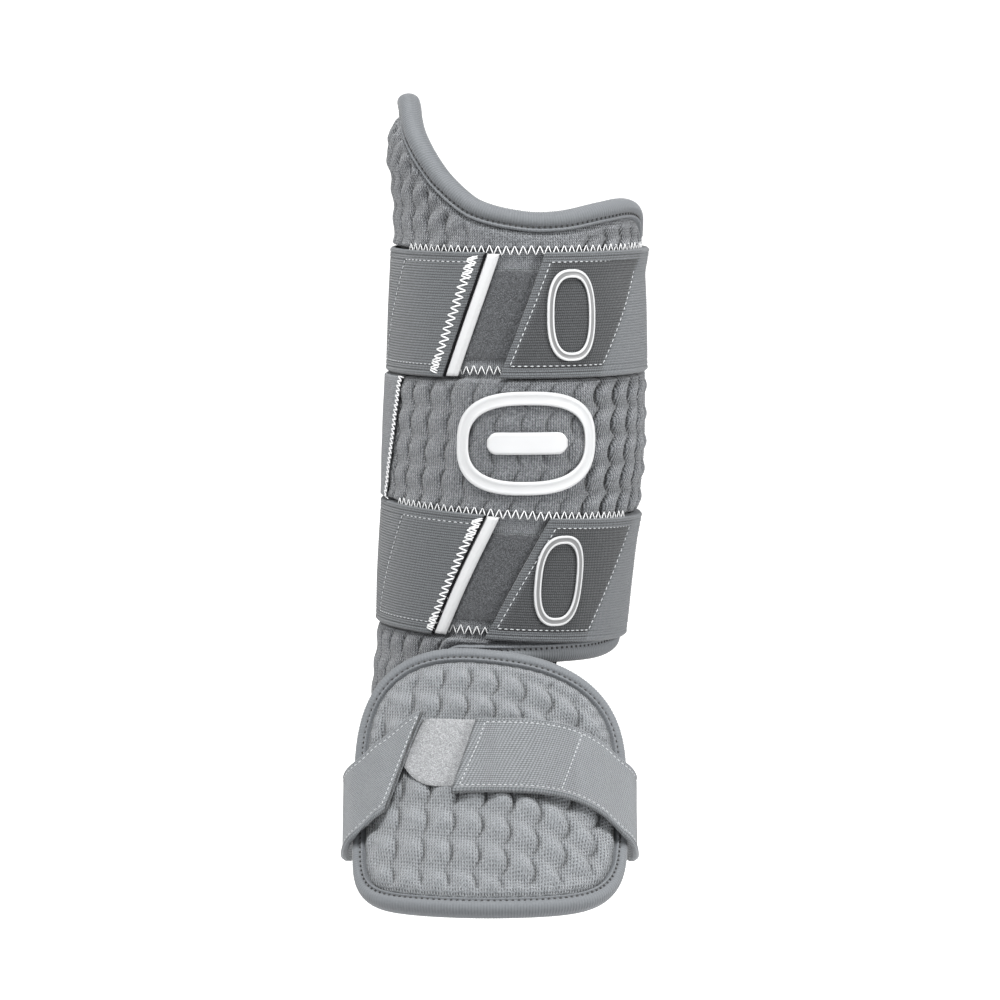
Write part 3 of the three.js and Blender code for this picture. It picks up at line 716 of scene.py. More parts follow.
def binding_look(name, colour, rib):
    """Ribbed elastic binding, brighter on its ribs."""
    look = Look(name, Roughness=0.72, Sheen_Weight=0.2, Sheen_Roughness=0.4, Specular_IOR_Level=0.4)
    along, _ = look.cloth()
    ribs = wave(along, rib)
    fibres = look.noise(0.6, 2.0)
    look.bump(fibres, 0.1)
    look.base(look.scaled(colour, look.shade() * (0.86 + ribs * 0.1 + (fibres - 0.5) * 0.3)))
    return look.material


def felt_look(name, colour, fleck):
    """Short looped pile, mottled."""
    look = Look(name, Roughness=0.97, Sheen_Weight=0.35, Sheen_Roughness=0.6, Specular_IOR_Level=0.15)
    fibres = look.noise(0.45, 4.0)
    tufts = look.noise(1.8, 3.0)
    look.bump(fibres * 0.7 + tufts * 0.6, 0.5)
    speckled = look.mix(fibres * 2.6 - 1.1, colour, fleck)
    look.base(look.scaled(speckled, look.shade() * (0.86 + tufts * 0.28)))
    return look.material


def rubber_look(name, colour):
    """Satin moulded rubber with a fine grain."""
    look = Look(name, Roughness=0.42, Specular_IOR_Level=0.5, Coat_Weight=0.1, Coat_Roughness=0.3)
    grain = look.noise(0.4, 2.0)
    wear = look.noise(9.0, 3.0)
    look.bump(grain, 0.02)
    look.base(look.scaled(colour, look.shade() * (0.97 + (wear - 0.5) * 0.08)))
    look.put(look.surface.inputs["Roughness"], 0.36 + wear * 0.16)
    return look.material


def thread_look(name, colour):
    """Twisted sewing thread."""
    look = Look(name, Roughness=0.55, Sheen_Weight=0.2, Specular_IOR_Level=0.45)
    fibres = look.noise(0.3, 2.0)
    look.bump(fibres, 0.06)
    look.base(look.scaled(colour, 0.84 + fibres * 0.3))
    return look.material


def floor_look(name, colour):
    """A plain matt floor with a painted shadow round the guard, glowing away from it."""
    look = Look(name, Roughness=0.9, Specular_IOR_Level=0.1, Emission_Strength=0.85)
    where = look.node("ShaderNodeTexCoord", None, None, "Object")
    far = look.node("ShaderNodeVectorMath", {"operation": "LENGTH"}, {0: where}, 1)
    # Painted shadow: the floor's glow and colour are darker near the guard and reach full brightness within
    # a metre of it.
    glow_with_painted_shadow = look.scaled((1.0, 1.0, 1.0), maths("MINIMUM", far, 1.0))
    look.put(look.surface.inputs["Emission Color"], glow_with_painted_shadow)
    painted_shadow = maths("MINIMUM", far * 1.5 + 0.25, 1.0) - look.noise(400.0) * 0.01
    look.base(look.scaled(colour, painted_shadow))
    return look.material


# Settings that a user would change


def length_setting(name, default, description):
    """A length, given in millimetres."""
    return FloatProperty(
        name=name, description=description, default=default * MM, min=0, precision=5, unit="LENGTH"
    )


def colour_setting(name, default, description):
    """A colour, given in linear light."""
    return FloatVectorProperty(
        name=name, description=description, default=default, size=3, min=0, max=1, subtype="COLOR"
    )


class LEGGUARD_PG_sizes(bpy.types.PropertyGroup):
    """Sizes of the cloth's relief and of the sewing."""

    scale_width: length_setting("Scale Width", 11.35, "Width of an embossed scale on the shin")
    scale_height: length_setting("Scale Height", 11.5, "Height of an embossed scale on the shin")
    scale_depth: length_setting("Scale Depth", 1.7, "Depth of the pits between the scales on the shin")
    instep_width: length_setting("Instep Scale Width", 11.2, "Width of an embossed scale on the instep")
    instep_height: length_setting("Instep Scale Height", 10.4, "Height of an embossed scale on the instep")
    instep_depth: length_setting("Instep Scale Depth", 1.0, "Depth of the pits on the instep")
    binding_rib: length_setting("Binding Rib", 1.1, "Distance between the ribs across the bindings")
    webbing_rib: length_setting("Webbing Rib", 1.08, "Distance between the ribs along the calf straps")
    webbing_relief: length_setting("Webbing Relief", 0.1, "Height of the ribs along the calf straps")
    stitch_pitch: length_setting("Stitch Pitch", 2.5, "Distance between straight stitches")
    stitch_length: length_setting("Stitch Length", 1.7, "Length of a straight stitch")
    thread_width: length_setting("Thread Width", 0.5, "Width of the sewing thread")
    zigzag_pitch: length_setting("Zigzag Pitch", 3.4, "Distance between the teeth of the patches' zigzag")
    zigzag_width: length_setting("Zigzag Width", 4.2, "Width of the zigzags")
    tab_pitch: length_setting("Tab Zigzag Pitch", 3.1, "Distance between the teeth beside the end tabs")
    tab_thread: length_setting("Tab Thread Width", 0.75, "Width of the thick thread beside the end tabs")


class LEGGUARD_PG_colours(bpy.types.PropertyGroup):
    """Colours of the guard's materials."""

    shin: colour_setting("Shin Knit", (0.095, 0.101, 0.109), "Embossed knit of the shin shell")
    instep: colour_setting("Instep Knit", (0.171, 0.182, 0.192), "Embossed knit of the instep guard")
    fleck: colour_setting("Fleck", (0.27, 0.28, 0.295), "Paler fibres in the knit")
    binding: colour_setting("Binding", (0.106, 0.113, 0.121), "Rolled elastic binding")
    patch: colour_setting("Smooth Knit", (0.132, 0.141, 0.151), "Side panel and landing patches")
    dark_felt: colour_setting("Dark Felt", (0.009, 0.01, 0.012), "Loop pile under the calf straps")
    light_felt: colour_setting("Light Felt", (0.129, 0.134, 0.14), "Loop pile on the instep guard")
    strap: colour_setting("Calf Webbing", (0.087, 0.093, 0.099), "Elastic webbing of the calf straps")
    foot_strap: colour_setting("Instep Webbing", (0.17, 0.18, 0.189), "Elastic webbing of the instep strap")
    rubber: colour_setting("White Rubber", (0.375, 0.379, 0.384), "Badges and pull tabs")
    elastic: colour_setting("Black Elastic", (0.006, 0.006, 0.007), "Piping and link between the guards")
    light_thread: colour_setting("Light Thread", (0.558, 0.562, 0.567), "Zigzags")
    grey_thread: colour_setting("Grey Thread", (0.33, 0.34, 0.35), "Dashes in the webbing")
    dark_thread: colour_setting("Dark Thread", (0.006, 0.006, 0.007), "Dashes in the bindings' groove")
    floor: colour_setting("Floor", (0.605, 0.605, 0.605), "Floor and backdrop")


def sizes():
    """The sizes in millimetres, by name."""
    held = bpy.context.scene.leg_guard_sizes
    return {name: getattr(held, name) / MM for name in held.__annotations__}


def finish_named(name):
    """A finish of the guard, made when it is first asked for."""
    made = bpy.data.materials.get(name)
    if made:
        return made
    colours = bpy.context.scene.leg_guard_colours
    size = sizes()
    makers = {
        "embossed knit": lambda: knit_look(name, colours.shin, colours.fleck, 1.15, 1.1),
        "instep knit": lambda: knit_look(name, colours.instep, colours.fleck, 1.15, 1.1),
        "smooth knit": lambda: knit_look(name, colours.patch, colours.fleck, 0.9, 0.85),
        "ribbed binding": lambda: binding_look(name, colours.binding, size["binding_rib"]),
        "calf webbing": lambda: webbing_look(name, colours.strap, size["webbing_rib"], 0.95, 0.85, 0.15),
        "instep webbing": lambda: webbing_look(name, colours.foot_strap, 1.0, 1.3, 0.6, 0.15),
        "dark pile": lambda: felt_look(name, colours.dark_felt, colours.shin),
        "light pile": lambda: felt_look(name, colours.light_felt, colours.rubber),
        "white rubber": lambda: rubber_look(name, colours.rubber),
        "black elastic": lambda: webbing_look(name, colours.elastic, 1.2, 0.8, 0.5, 0.02),
        "light thread": lambda: thread_look(name, colours.light_thread),
        "grey thread": lambda: thread_look(name, colours.grey_thread),
        "dark thread": lambda: thread_look(name, colours.dark_thread),
        "pale floor": lambda: floor_look(name, colours.floor),
    }
    return makers[name]()


# Pieces


def relief_fade(edge):
    """How much of the relief shows at a distance from the seam."""
    return smooth((edge - 0.8) / 5.0)


def shell_cover():
    """The shin shell's embossed knit over its foam, with gathers along the wing's edge."""
    size = sizes()

    def place(u, v, out):
        turn, z, bottom, top = shell_place(u, v)
        right = np.radians(turn) * LEG_ARC
        past_wing = np.radians(turn + WING_EDGE_ANGLE) * LEG_ARC
        past_plain = np.radians(PLAIN_EDGE_ANGLE - turn) * LEG_ARC
        edge = np.minimum(np.minimum(z - bottom, top - z), np.minimum(past_wing, past_plain))
        side = smooth((turn - 22) / 22)
        depth = size["scale_depth"] * lerp(0.5, 1.0, side)
        wing = smooth((-turn - 20) / 20)
        relief, pit, body = scales(
            right - SHIN_SCALE_START[0], z - SHIN_SCALE_START[1], size["scale_width"], size["scale_height"],
            SHIN_SCALE_SLANT, curve=lerp(0.25, 0.36, side), depth=depth,
            crown=0.5 + 2.1 * side + 0.9 * wing, skew=0.0, knoll=0.3,
        )  # fmt: skip
        fade = relief_fade(edge)
        gathers = np.cos((0.6 * right - 0.8 * z) * 2 * math.pi / GATHER_PITCH) * np.exp(-(top - z) / 15)
        outside = relief * fade - 1.3 * near_line(edge, 0, 1.7) + 0.1 * ripples(right, z, 9.0)
        outside = outside + 0.8 * gathers * wing * smooth(edge / 3)
        cloth = np.stack([right, z], -1)
        # Painted shade in the creases between the scales and along the seam, and painted highlights on the
        # scales' crowns and on the gathers' crests, both stronger on the right side and on the wing.
        shade = 1 - lerp(0.45, 0.7, side) * pit * fade - 0.35 * near_line(edge, 0, 1.3)
        shade = shade + (body - 0.6) * fade * (0.15 + 0.7 * side + 0.35 * wing) + 0.12 * gathers * wing
        face = leg_point(turn, z, outside)
        lining = leg_point(turn, z, -SHELL_WALL, sunk=False)
        return np.where(out[:, None], face, lining), cloth, np.where(out, shade, 0.9)

    mesh = slab("shin_shell_cover", (300, 318), (44, 48), place)
    cover = shown("shin_shell_cover", mesh, "embossed knit", "shin_knit", "shin_shell")


def pad_cover():
    """The instep guard's embossed knit over its foam, puckered along the seam."""
    size = sizes()

    def place(u, v, out):
        across, up, ring = pad_plan(2 * u - 1, 2 * v - 1)
        dip = PAD_RIM_DIP * ring**6
        edge = (1 - ring) * 46
        spread = smooth((across + 40) / 45)
        depth = size["instep_depth"] * lerp(0.5, 0.8, spread)
        fall = PAD_ROW_FALL * np.maximum(0, across + 15) ** 2
        relief, pit, body = scales(
            across - PAD_SCALE_START[0], up - PAD_SCALE_START[1] + fall, size["instep_width"],
            size["instep_height"], PAD_SCALE_SLANT, curve=lerp(-0.16, -0.28, spread), depth=depth,
            crown=lerp(2.0, 2.8, spread), skew=0.35, knoll=0.45,
        )  # fmt: skip
        fade = relief_fade(edge)
        pucker = 0.35 * near_line(edge, 2.5, 3.0) * np.cos(PAD_PUCKERS * np.arctan2(up, across))
        under = dip - relief * fade + 1.3 * near_line(edge, 0, 1.7) - pucker
        under = under + 0.1 * ripples(across, up, 8.0)
        lining = lerp(PAD_THICKNESS, PAD_EDGE_THICKNESS + dip, ring**4)
        # Painted highlights on the scales' crowns, and painted shade in their creases and along the seam.
        shade = 1 + (0.6 * (body - 0.45) - 0.4 * pit) * fade - 0.35 * near_line(edge, 0, 1.3)
        points = pad_point(across, up, np.where(out, under, lining))
        return points, np.stack([across, up], -1), np.where(out, shade, 0.9)

    mesh = slab("instep_pad_cover", (250, 210), (32, 28), place)
    cover = shown("instep_pad_cover", mesh, "instep knit", "instep_knit", "instep_pad")


def rim_path(wall_at, spots):
    """The outer and inner points of a wall's edge all round, and the way travelled to each."""
    loop = np.concatenate([
        np.stack([spots, 0 * spots], -1),
        np.stack([0 * spots + 1, spots], -1),
        np.stack([1 - spots, 0 * spots + 1], -1),
        np.stack([0 * spots, 1 - spots], -1),
    ])  # fmt: skip
    outer, inner = wall_at(loop[:, 0], loop[:, 1])
    middle = (outer + inner) / 2
    return outer, inner, lengths(np.concatenate([middle, middle[:1]]))


def binding_roll(name, wall_at, width, thickness, wall, pale):
    """A rolled, ribbed binding round a wall's edge, with dashes in its sewn groove on the outer side."""
    size = sizes()
    outer, inner, length = rim_path(wall_at, np.linspace(0, 1, 900, endpoint=False))
    ribs = round(length[-1] / size["binding_rib"])
    pitch = length[-1] / ribs

    def along(rows, where):
        return along_line(np.concatenate([rows, rows[:1]]), length, np.mod(where, length[-1]))

    def seat(where):
        """The wall's middle, its outward direction and normal, and half the binding's thickness."""
        face, back = along(outer, where), along(inner, where)
        middle = (face + back) / 2
        through = face - back
        span = np.linalg.norm(through, axis=-1)
        normal = through / span[:, None]
        ahead = (along(outer, where + 2) + along(inner, where + 2)) / 2
        behind = (along(outer, where - 2) + along(inner, where - 2)) / 2
        outward = unit(np.cross(ahead - behind, normal))
        half = (thickness - BINDING_SQUEEZE * (wall - span)) / 2
        return middle, outward, normal, half

    section = np.array(BINDING_SECTION)

    def place(w, k):
        where = w * length[-1]
        middle, outward, normal, half = seat(where)
        across, rise = section[k].T
        groove = near_line(across, GROOVE_SHARE, 0.05) * (rise > 0)
        rib = 0.7 * np.cos(2 * math.pi * where / pitch) * (1 - groove)
        round_off = (across - 0.5) * RIB_RELIEF * rib
        points = middle + outward * (lerp(GAP, width, across + round_off))[:, None]
        points = points + normal * (half * rise * (1 + RIB_RELIEF * rib))[:, None]
        ridge = smooth((0.2 - across) / 0.05) * (rise > 0.3)
        # Painted light: the roll is painted lighter on its upward-facing side and darker on its
        # downward-facing side, lighter on the ribs' crests and darker in the groove as painted shade, and
        # pale paints the whole binding paler or darker for how the light falls on it. The ledge beside the
        # groove is lighter.
        turned = 0.94 + 0.5 * outward[:, 2] * (across - 0.55)
        shade = pale * (0.95 + 0.14 * rib) * (1 - 0.1 * groove) * np.where(rise > 0, turned, 1)
        shade = shade + 0.35 * ridge
        return points, np.stack([where * size["binding_rib"] / pitch, across * width], -1), shade

    mesh = roll(f"{name}_roll", 4 * ribs, BINDING_SECTION, place)
    shown(f"{name}_roll", mesh, "ribbed binding", "edge_binding", name)

    count = round(length[-1] / DASH_PITCH)
    where = (np.arange(count) + 0.5) * length[-1] / count
    ends = []
    for side in (-DASH_LENGTH / 2, DASH_LENGTH / 2):
        middle, outward, normal, half = seat(where + side)
        across = lerp(GAP, width, GROOVE_SHARE)
        ends.append(middle + outward * across + normal * (half * GROOVE_RISE)[:, None])
    mesh = threads(f"{name}_dashes", *ends, seat(where)[2], DASH_WIDTH)
    shown(f"{name}_dashes", mesh, "dark thread", "edge_binding")


def shell_wall(u, v):
    """Points on the shell's face and on its lining."""
    turn, z, _, _ = shell_place(u, v)
    return leg_point(turn, z, 0), leg_point(turn, z, -SHELL_WALL, sunk=False)


def pad_wall(u, v):
    """Points on the instep guard's face and on its lining, near its edge."""
    across, up, _ = pad_plan(2 * u - 1, 2 * v - 1)
    return (
        pad_point(across, up, PAD_RIM_DIP + 0 * up),
        pad_point(across, up, PAD_EDGE_THICKNESS + PAD_RIM_DIP + 0 * up),
    )


def leg_band(name, strap, starts, ends, low, high, inside, thickness, outer, inner, finish):
    """A band round the leg between two slanted ends, given as turns at its upper and lower edge.

    finish(u, step, turn) gives its relief in millimetres and its shade at a share of its length.
    """

    def place(u, v, out):
        step = lerp(low, high, v)
        turn = lerp(lerp(starts[1], starts[0], v), lerp(ends[1], ends[0], v), u)
        relief, shade = finish(u, step, turn)
        outside = inside + np.where(out, thickness + relief, 0)
        z = strap_middle(strap, turn) + step
        return leg_point(turn, z, outside), np.stack([np.radians(turn) * LEG_ARC, step], -1), shade

    return slab(name, outer, inner, place)


def slanted(pair, step, half=STRAP_WIDTH / 2):
    """A slanted line's turn at a step from the middle, from its turns at the upper and lower ends."""
    return lerp(pair[1], pair[0], (step + half) / (2 * half))


def patches(name, strap):
    """The smooth knit panel and the pile under a calf strap's closing."""
    size = sizes()
    low, high = PATCH_LIFT - PATCH_HEIGHT / 2, PATCH_LIFT + PATCH_HEIGHT / 2

    def panel(u, step, turn):
        rim = np.minimum(step - low, high - step)
        return -0.25 * near_line(rim, 0, 0.6) + 0.06 * ripples(turn, step, 5.0), 1 + 0 * step

    left, right = strap["patch"]
    ends = ((left, left), (right, right))
    mesh = leg_band(
        f"{name}_patch", strap, *ends, low, high, GAP, PATCH_THICKNESS, (120, 50), (60, 12), panel
    )
    patch = shown(f"{name}_patch", mesh, "smooth knit", "smooth_knit", f"{name}_landing_patch")
    width = math.radians(right - left) * LEG_ARC * MM

    def pile(u, step, turn):
        rim = np.minimum(FELT_HEIGHT / 2 - np.abs(step), np.minimum(u, 1 - u) * 66)
        lumps = ripples(turn, step, 0.9) + 0.6 * ripples(step, turn, 0.47)
        # The pile is painted lighter on its lumps and darker between them: painted highlights and painted
        # shade.
        return 0.16 * lumps - 0.4 * near_line(rim, 0, 0.7), 1 + 0.12 * lumps

    left, right = FELT_REACH
    ends = ((left, left), (right, right))
    half = FELT_HEIGHT / 2
    mesh = leg_band(
        f"{name}_felt", strap, *ends, -half, half, FELT_INSIDE, FELT_THICKNESS, (140, 80), (30, 8), pile
    )
    felt = shown(f"{name}_felt", mesh, "dark pile", "dark_felt", f"{name}_landing_felt")
    width = math.radians(right - left) * LEG_ARC * MM

    def surface(turn, step, lift):
        ledge = 1.3 * near_line(step, 24.6, 1.6)
        return leg_point(turn, strap_middle(strap, turn) + step, GAP + PATCH_THICKNESS + lift + ledge)

    left, right = strap["patch"]
    rows = []
    for step, lift in PATCH_ZIGZAGS:
        line = [(left + 1, step), (right - 1, step)]
        rows.append(zigzag_stitch(surface, line, lift, size["zigzag_pitch"], size["zigzag_width"]))
    mesh = threads(f"{name}_patch_zigzag", *joined(*rows), size["thread_width"])
    shown(f"{name}_patch_zigzag", mesh, "light thread", "smooth_knit")


def gusset():
    """The smooth side panel between the straps, zigzagged along its front edge."""
    size = sizes()
    lower, upper = STRAPS["lower"], STRAPS["upper"]
    back = -WING_EDGE_ANGLE + math.degrees(3.5 / LEG_HALF_WIDTH)

    def height(turn, v):
        low = strap_middle(lower, turn) + STRAP_WIDTH / 2
        return lerp(low, strap_middle(upper, turn) - STRAP_WIDTH / 2, v)

    def place(u, v, out):
        turn = lerp(lerp(GUSSET_SEAM[1], GUSSET_SEAM[0], v), back, u)
        z = height(turn, v)
        right = np.radians(turn) * LEG_ARC
        sag = 0.35 * np.sin(math.pi * v) * np.sin(math.pi * u) + 0.12 * ripples(right, z, 7.0)
        fold = 0.85 * near_line(u, 0.0, 0.07)
        outside = GAP + np.where(out, GUSSET_THICKNESS + sag - fold, 0)
        return leg_point(turn, z, outside), np.stack([right, z], -1), 1 + 0 * u

    mesh = slab("side_panel", (70, 90), (24, 30), place)
    panel = shown("side_panel", mesh, "smooth knit", "smooth_knit", "side_gusset")
    tall = (upper["height"] - lower["height"] - STRAP_WIDTH) * MM

    def surface(turn, v, lift):
        return leg_point(turn, height(turn, v), GAP + GUSSET_THICKNESS + lift)

    seam = [(lerp(GUSSET_SEAM[1], GUSSET_SEAM[0], v), v) for v in (0.02, 0.5, 0.98)]
    row = zigzag_stitch(surface, seam, 0.0, 0.6 * size["zigzag_pitch"], size["zigzag_width"])
    mesh = threads("side_panel_zigzag", *row, 1.3 * size["thread_width"])
    shown("side_panel_zigzag", mesh, "light thread", "smooth_knit")


def strap_finish(strap):
    """A calf strap's relief and shade: ribs, rolled selvedges, and the dips along its sewn lines, with
    painted shade and painted highlights.
    """
    size = sizes()
    reach = STRAP_WIDTH / 2

    def finish(u, step, turn):
        rim = reach - np.abs(step)
        ribs = np.sin(2 * math.pi * step / size["webbing_rib"]) * smooth((rim - 1.4) / 0.6)
        roll_up = 0.15 * near_line(rim, 1.0, 0.6)
        grooves = 0.18 * (near_line(rim, 2.2, 0.3) + near_line(rim, 4.4, 0.3))
        thin = 0.7 * near_line(rim, 0, 0.5)
        relief = size["webbing_relief"] * ribs + roll_up - grooves - thin
        round_turn = np.where(turn > 180, turn - 360, turn)
        left = slanted(strap["plain_stitch"][:2], step, STITCH_REACH)
        right = slanted(strap["plain_stitch"][2:], step, STITCH_REACH)
        wing = slanted(strap["wing_stitch"][:2], step, STITCH_REACH)
        inside = smooth((turn - left) / 1.5) * smooth((right - turn) / 1.5) * (np.abs(step) < 21.2)
        seam = near_line(turn, right, 0.9) + near_line(turn, left, 0.9)
        seam = (seam + near_line(round_turn, wing, 0.9)) * (np.abs(step) < 21.5)
        relief = relief - 0.3 * seam - 0.1 * inside
        relief = relief + strap["flare"] * smooth((step - 13) / 12.4) * near_line(turn, 82, 28)
        # Painted highlight on the rolled edges and painted shade in the grooves beside them; darker along
        # the sewn lines and in the sewn box; and a painted highlight over the part right of the sewn box for
        # the light from the right, fading towards the back.
        shade = 1 + 0.12 * near_line(rim, 0.9, 0.5) - 0.22 * near_line(rim, 2.2, 0.4)
        shade = shade - 0.2 * near_line(rim, 4.4, 0.3) - 0.6 * inside - 0.2 * np.minimum(seam, 1)
        shade = shade + 1.05 * smooth((turn - right) / 2.5) * smooth((190 - turn) / 60)
        return relief, shade

    return finish


def calf_webbing(name, strap):
    """One elastic strap round the calf, with its dashes and the zigzag beside its pull tab."""
    size = sizes()
    reach = STRAP_WIDTH / 2
    ends = (strap["plain"], tuple(turn + 360 for turn in strap["wing"]))
    mesh = leg_band(
        f"{name}_webbing", strap, *ends, -reach, reach, STRAP_INSIDE, STRAP_THICKNESS,
        (230, 168), (100, 20), strap_finish(strap),
    )  # fmt: skip
    webbing = shown(f"{name}_webbing", mesh, "calf webbing", "strap_webbing", f"{name}_strap")
    long = math.radians(ends[1][0] - ends[0][0] + ends[1][1] - ends[0][1]) / 2 * (LEG_ARC + 1)

    def surface(turn, step, lift):
        return leg_point(turn, strap_middle(strap, turn) + step, STRAP_OUTSIDE + lift)

    top, bottom = STITCH_STEP
    rows = []
    for key in ("plain_stitch", "wing_stitch"):
        left_top, left_bottom, right_top, right_bottom = strap[key]
        left = [(left_bottom, bottom), (left_top, top)]
        right = [(right_bottom, bottom), (right_top, top)]
        lines = [[left[0], right[0]], [left[1], right[1]], left]
        if key == "plain_stitch":
            lines.append(right)
        for line in lines:
            rows.append(
                straight_stitch(surface, line, -0.02, size["stitch_pitch"], size["stitch_length"])
            )
    mesh = threads(f"{name}_stitches", *joined(*rows), size["thread_width"])
    shown(f"{name}_stitches", mesh, "grey thread", "strap_webbing")

    reach = TAB_ZIGZAG_REACH
    zigzag = [(slanted(strap["zigzag"], step), step) for step in (-reach, reach)]
    wide = 1.2 * size["zigzag_width"]
    rows = [zigzag_stitch(surface, zigzag, 0.15, size["tab_pitch"], wide, level=True)]
    for low, high in TAB_BARTACKS:
        part = [tuple(lerp(a, b, share) for a, b in zip(*zigzag)) for share in (low, high)]
        rows.append(zigzag_stitch(surface, part, 0.3, size["tab_pitch"] * 0.9, wide, level=True))
    mesh = threads(f"{name}_tab_zigzag", *joined(*rows), size["tab_thread"])
    shown(f"{name}_tab_zigzag", mesh, "light thread", "strap_webbing")


def turn_of(length):
    """The turn that a length makes round the front of the leg."""
    return math.degrees(length / LEG_HALF_DEPTH)


def pull_tab(name, strap):
    """The white pull tab along a calf strap's wing-side end, and the black piping beside it."""
    starts = tuple(turn + turn_of(GAP) for turn in strap["wing"])
    ends = tuple(turn + turn_of(END_TAB_WIDTH + GAP) for turn in starts)
    half = (STRAP_WIDTH - END_TAB_TRIM) / 2

    def tab(u, step, turn):
        rim = np.minimum(half - np.abs(step), np.minimum(u, 1 - u) * END_TAB_WIDTH)
        ledge = smooth((u - END_TAB_FOLD[0]) / END_TAB_FOLD[1])
        return -0.7 * near_line(rim, 0, 0.55) - 0.15 * ledge, 1 - 0.1 * ledge

    mesh = leg_band(
        f"{name}_pull_tab", strap, starts, ends, -half, half, STRAP_INSIDE, END_TAB_THICKNESS,
        (24, 110), (6, 20), tab,
    )  # fmt: skip
    shown(f"{name}_pull_tab", mesh, "white rubber", "white_rubber", f"{name}_strap_end_tab")

    ends = [[turn + turn_of(part) for turn in strap["wing"]] for part in PIPING_ENDS]
    reach = half + 0.3

    def piping(u, step, turn):
        beads = 0.12 * np.cos(2 * math.pi * step / PIPING_BEAD)
        return 0.5 * np.sqrt(np.maximum(0, 1 - (2 * u - 1) ** 2)) - 0.5 + beads, 1 + 0 * step

    mesh = leg_band(
        f"{name}_piping", strap, *ends, -reach, reach, STRAP_INSIDE + PIPING_LIFT, PIPING_THICKNESS,
        (10, 170), (4, 20), piping,
    )  # fmt: skip
    shown(f"{name}_piping", mesh, "black elastic", "black_elastic")


def strap_badge(name, strap):
    """The moulded ring on a calf strap's plain-side end."""
    mesh = ring(
        f"{name}_badge", STRAP_BADGE_TURN, strap_middle(strap, STRAP_BADGE_TURN), STRAP_BADGE_SIZE,
        STRAP_BADGE_RIM, STRAP_OUTSIDE + GAP, STRAP_BADGE_THICKNESS, STRAP_BADGE_BAND,
    )  # fmt: skip
    shown(f"{name}_badge", mesh, "white rubber", "white_rubber", f"{name}_strap_badge")


def badge_point(turn, z, right, up, outside):
    """A point right of and above a badge's middle, which lies at a turn and a height."""
    return leg_point(turn + np.degrees(right / (LEG_HALF_DEPTH + outside)), z + up, outside)


def ring(name, turn, z, size, rim, inside, thickness, band):
    """A moulded ring with raised borders and a band of another shade between them."""
    section = np.array(RIM_SECTION)
    power = 2 / BADGE_SQUARENESS

    def place(w, k):
        share, rise = section[k].T
        angle = 2 * math.pi * w
        c, s = np.cos(angle), np.sin(angle)
        right = (size[0] / 2 - rim * share) * np.sign(c) * np.abs(c) ** power
        up = (size[1] / 2 - rim * share) * np.sign(s) * np.abs(s) ** power
        points = badge_point(turn, z, right, up, inside + thickness * rise)
        shade = np.where((share > 0.25) & (share < 0.75) & (rise > 0.5), band, 1.0)
        return points, np.stack([right, up], -1), shade

    return roll(name, 360, RIM_SECTION, place)


def front_badge():
    """The moulded ring on the shin, and the bar in it."""
    place = (BADGE_TURN, BADGE_LIFT)
    mesh = ring("shin_badge_ring", *place, BADGE_SIZE, BADGE_RIM, BADGE_INSIDE, BADGE_THICKNESS, 0.93)
    shown("shin_badge_ring", mesh, "white rubber", "white_rubber", "front_badge_ring")
    long, tall = BADGE_BAR
    round_end = tall / 2

    def bar(u, v, out):
        s, t = 2 * u - 1, 2 * v - 1
        past = np.maximum(0, np.abs(s) * long / 2 - (long / 2 - round_end))
        half = np.maximum(BAR_END * round_end, np.sqrt(np.maximum(0, round_end**2 - past**2)))
        right, up = s * long / 2, t * half
        rim = np.minimum(half - np.abs(up), long / 2 - np.abs(right))
        bevel = 0.6 * near_line(rim, 0, 0.5)
        outside = BADGE_INSIDE + np.where(out, BADGE_THICKNESS - bevel, 0)
        return badge_point(*place, right, up, outside), np.stack([right, up], -1), 1 + 0 * u

    mesh = slab("shin_badge_bar", (80, 30), (20, 8), bar)
    shown("shin_badge_bar", mesh, "white rubber", "white_rubber", "front_badge_bar")


def instep_pile():
    """The light pile on the instep guard, rounded at its left end."""
    low, high = FOOT_FELT_REACH

    def place(u, v, out):
        spot = lerp(low, high, u)
        turned = 1 - np.clip((spot - low) / FOOT_FELT_ROUNDING, 0, 1)
        height = FOOT_FELT_HEIGHT * np.sqrt(1 - FELT_END * turned**2)
        up = FOOT_STRAP_LIFT + 1.4 + height * (v - 0.5)
        rim = np.minimum(height * np.minimum(v, 1 - v), (spot - low) * 1.2)
        lumps = ripples(spot, up, 0.75) + 0.6 * ripples(up, spot, 0.41)
        relief = 0.14 * lumps - 0.45 * near_line(rim, 0, 0.8)
        under = -(GAP + np.where(out, FOOT_FELT_THICKNESS + relief, 0))
        # The pile is painted lighter on its lumps and darker between them: painted highlights and painted
        # shade.
        return pad_point(spot, up, under), np.stack([spot, up], -1), 1 + 0.12 * lumps

    mesh = slab("instep_pile", (90, 70), (20, 16), place)
    pile = shown("instep_pile", mesh, "light pile", "light_felt", "instep_felt")


def foot_band(place):
    """Turns a travelled length in rows into a place on the loop."""
    half = FOOT_STRAP_ROUND / 2
    return np.where(place <= half, -place, FOOT_STRAP_ROUND - place)


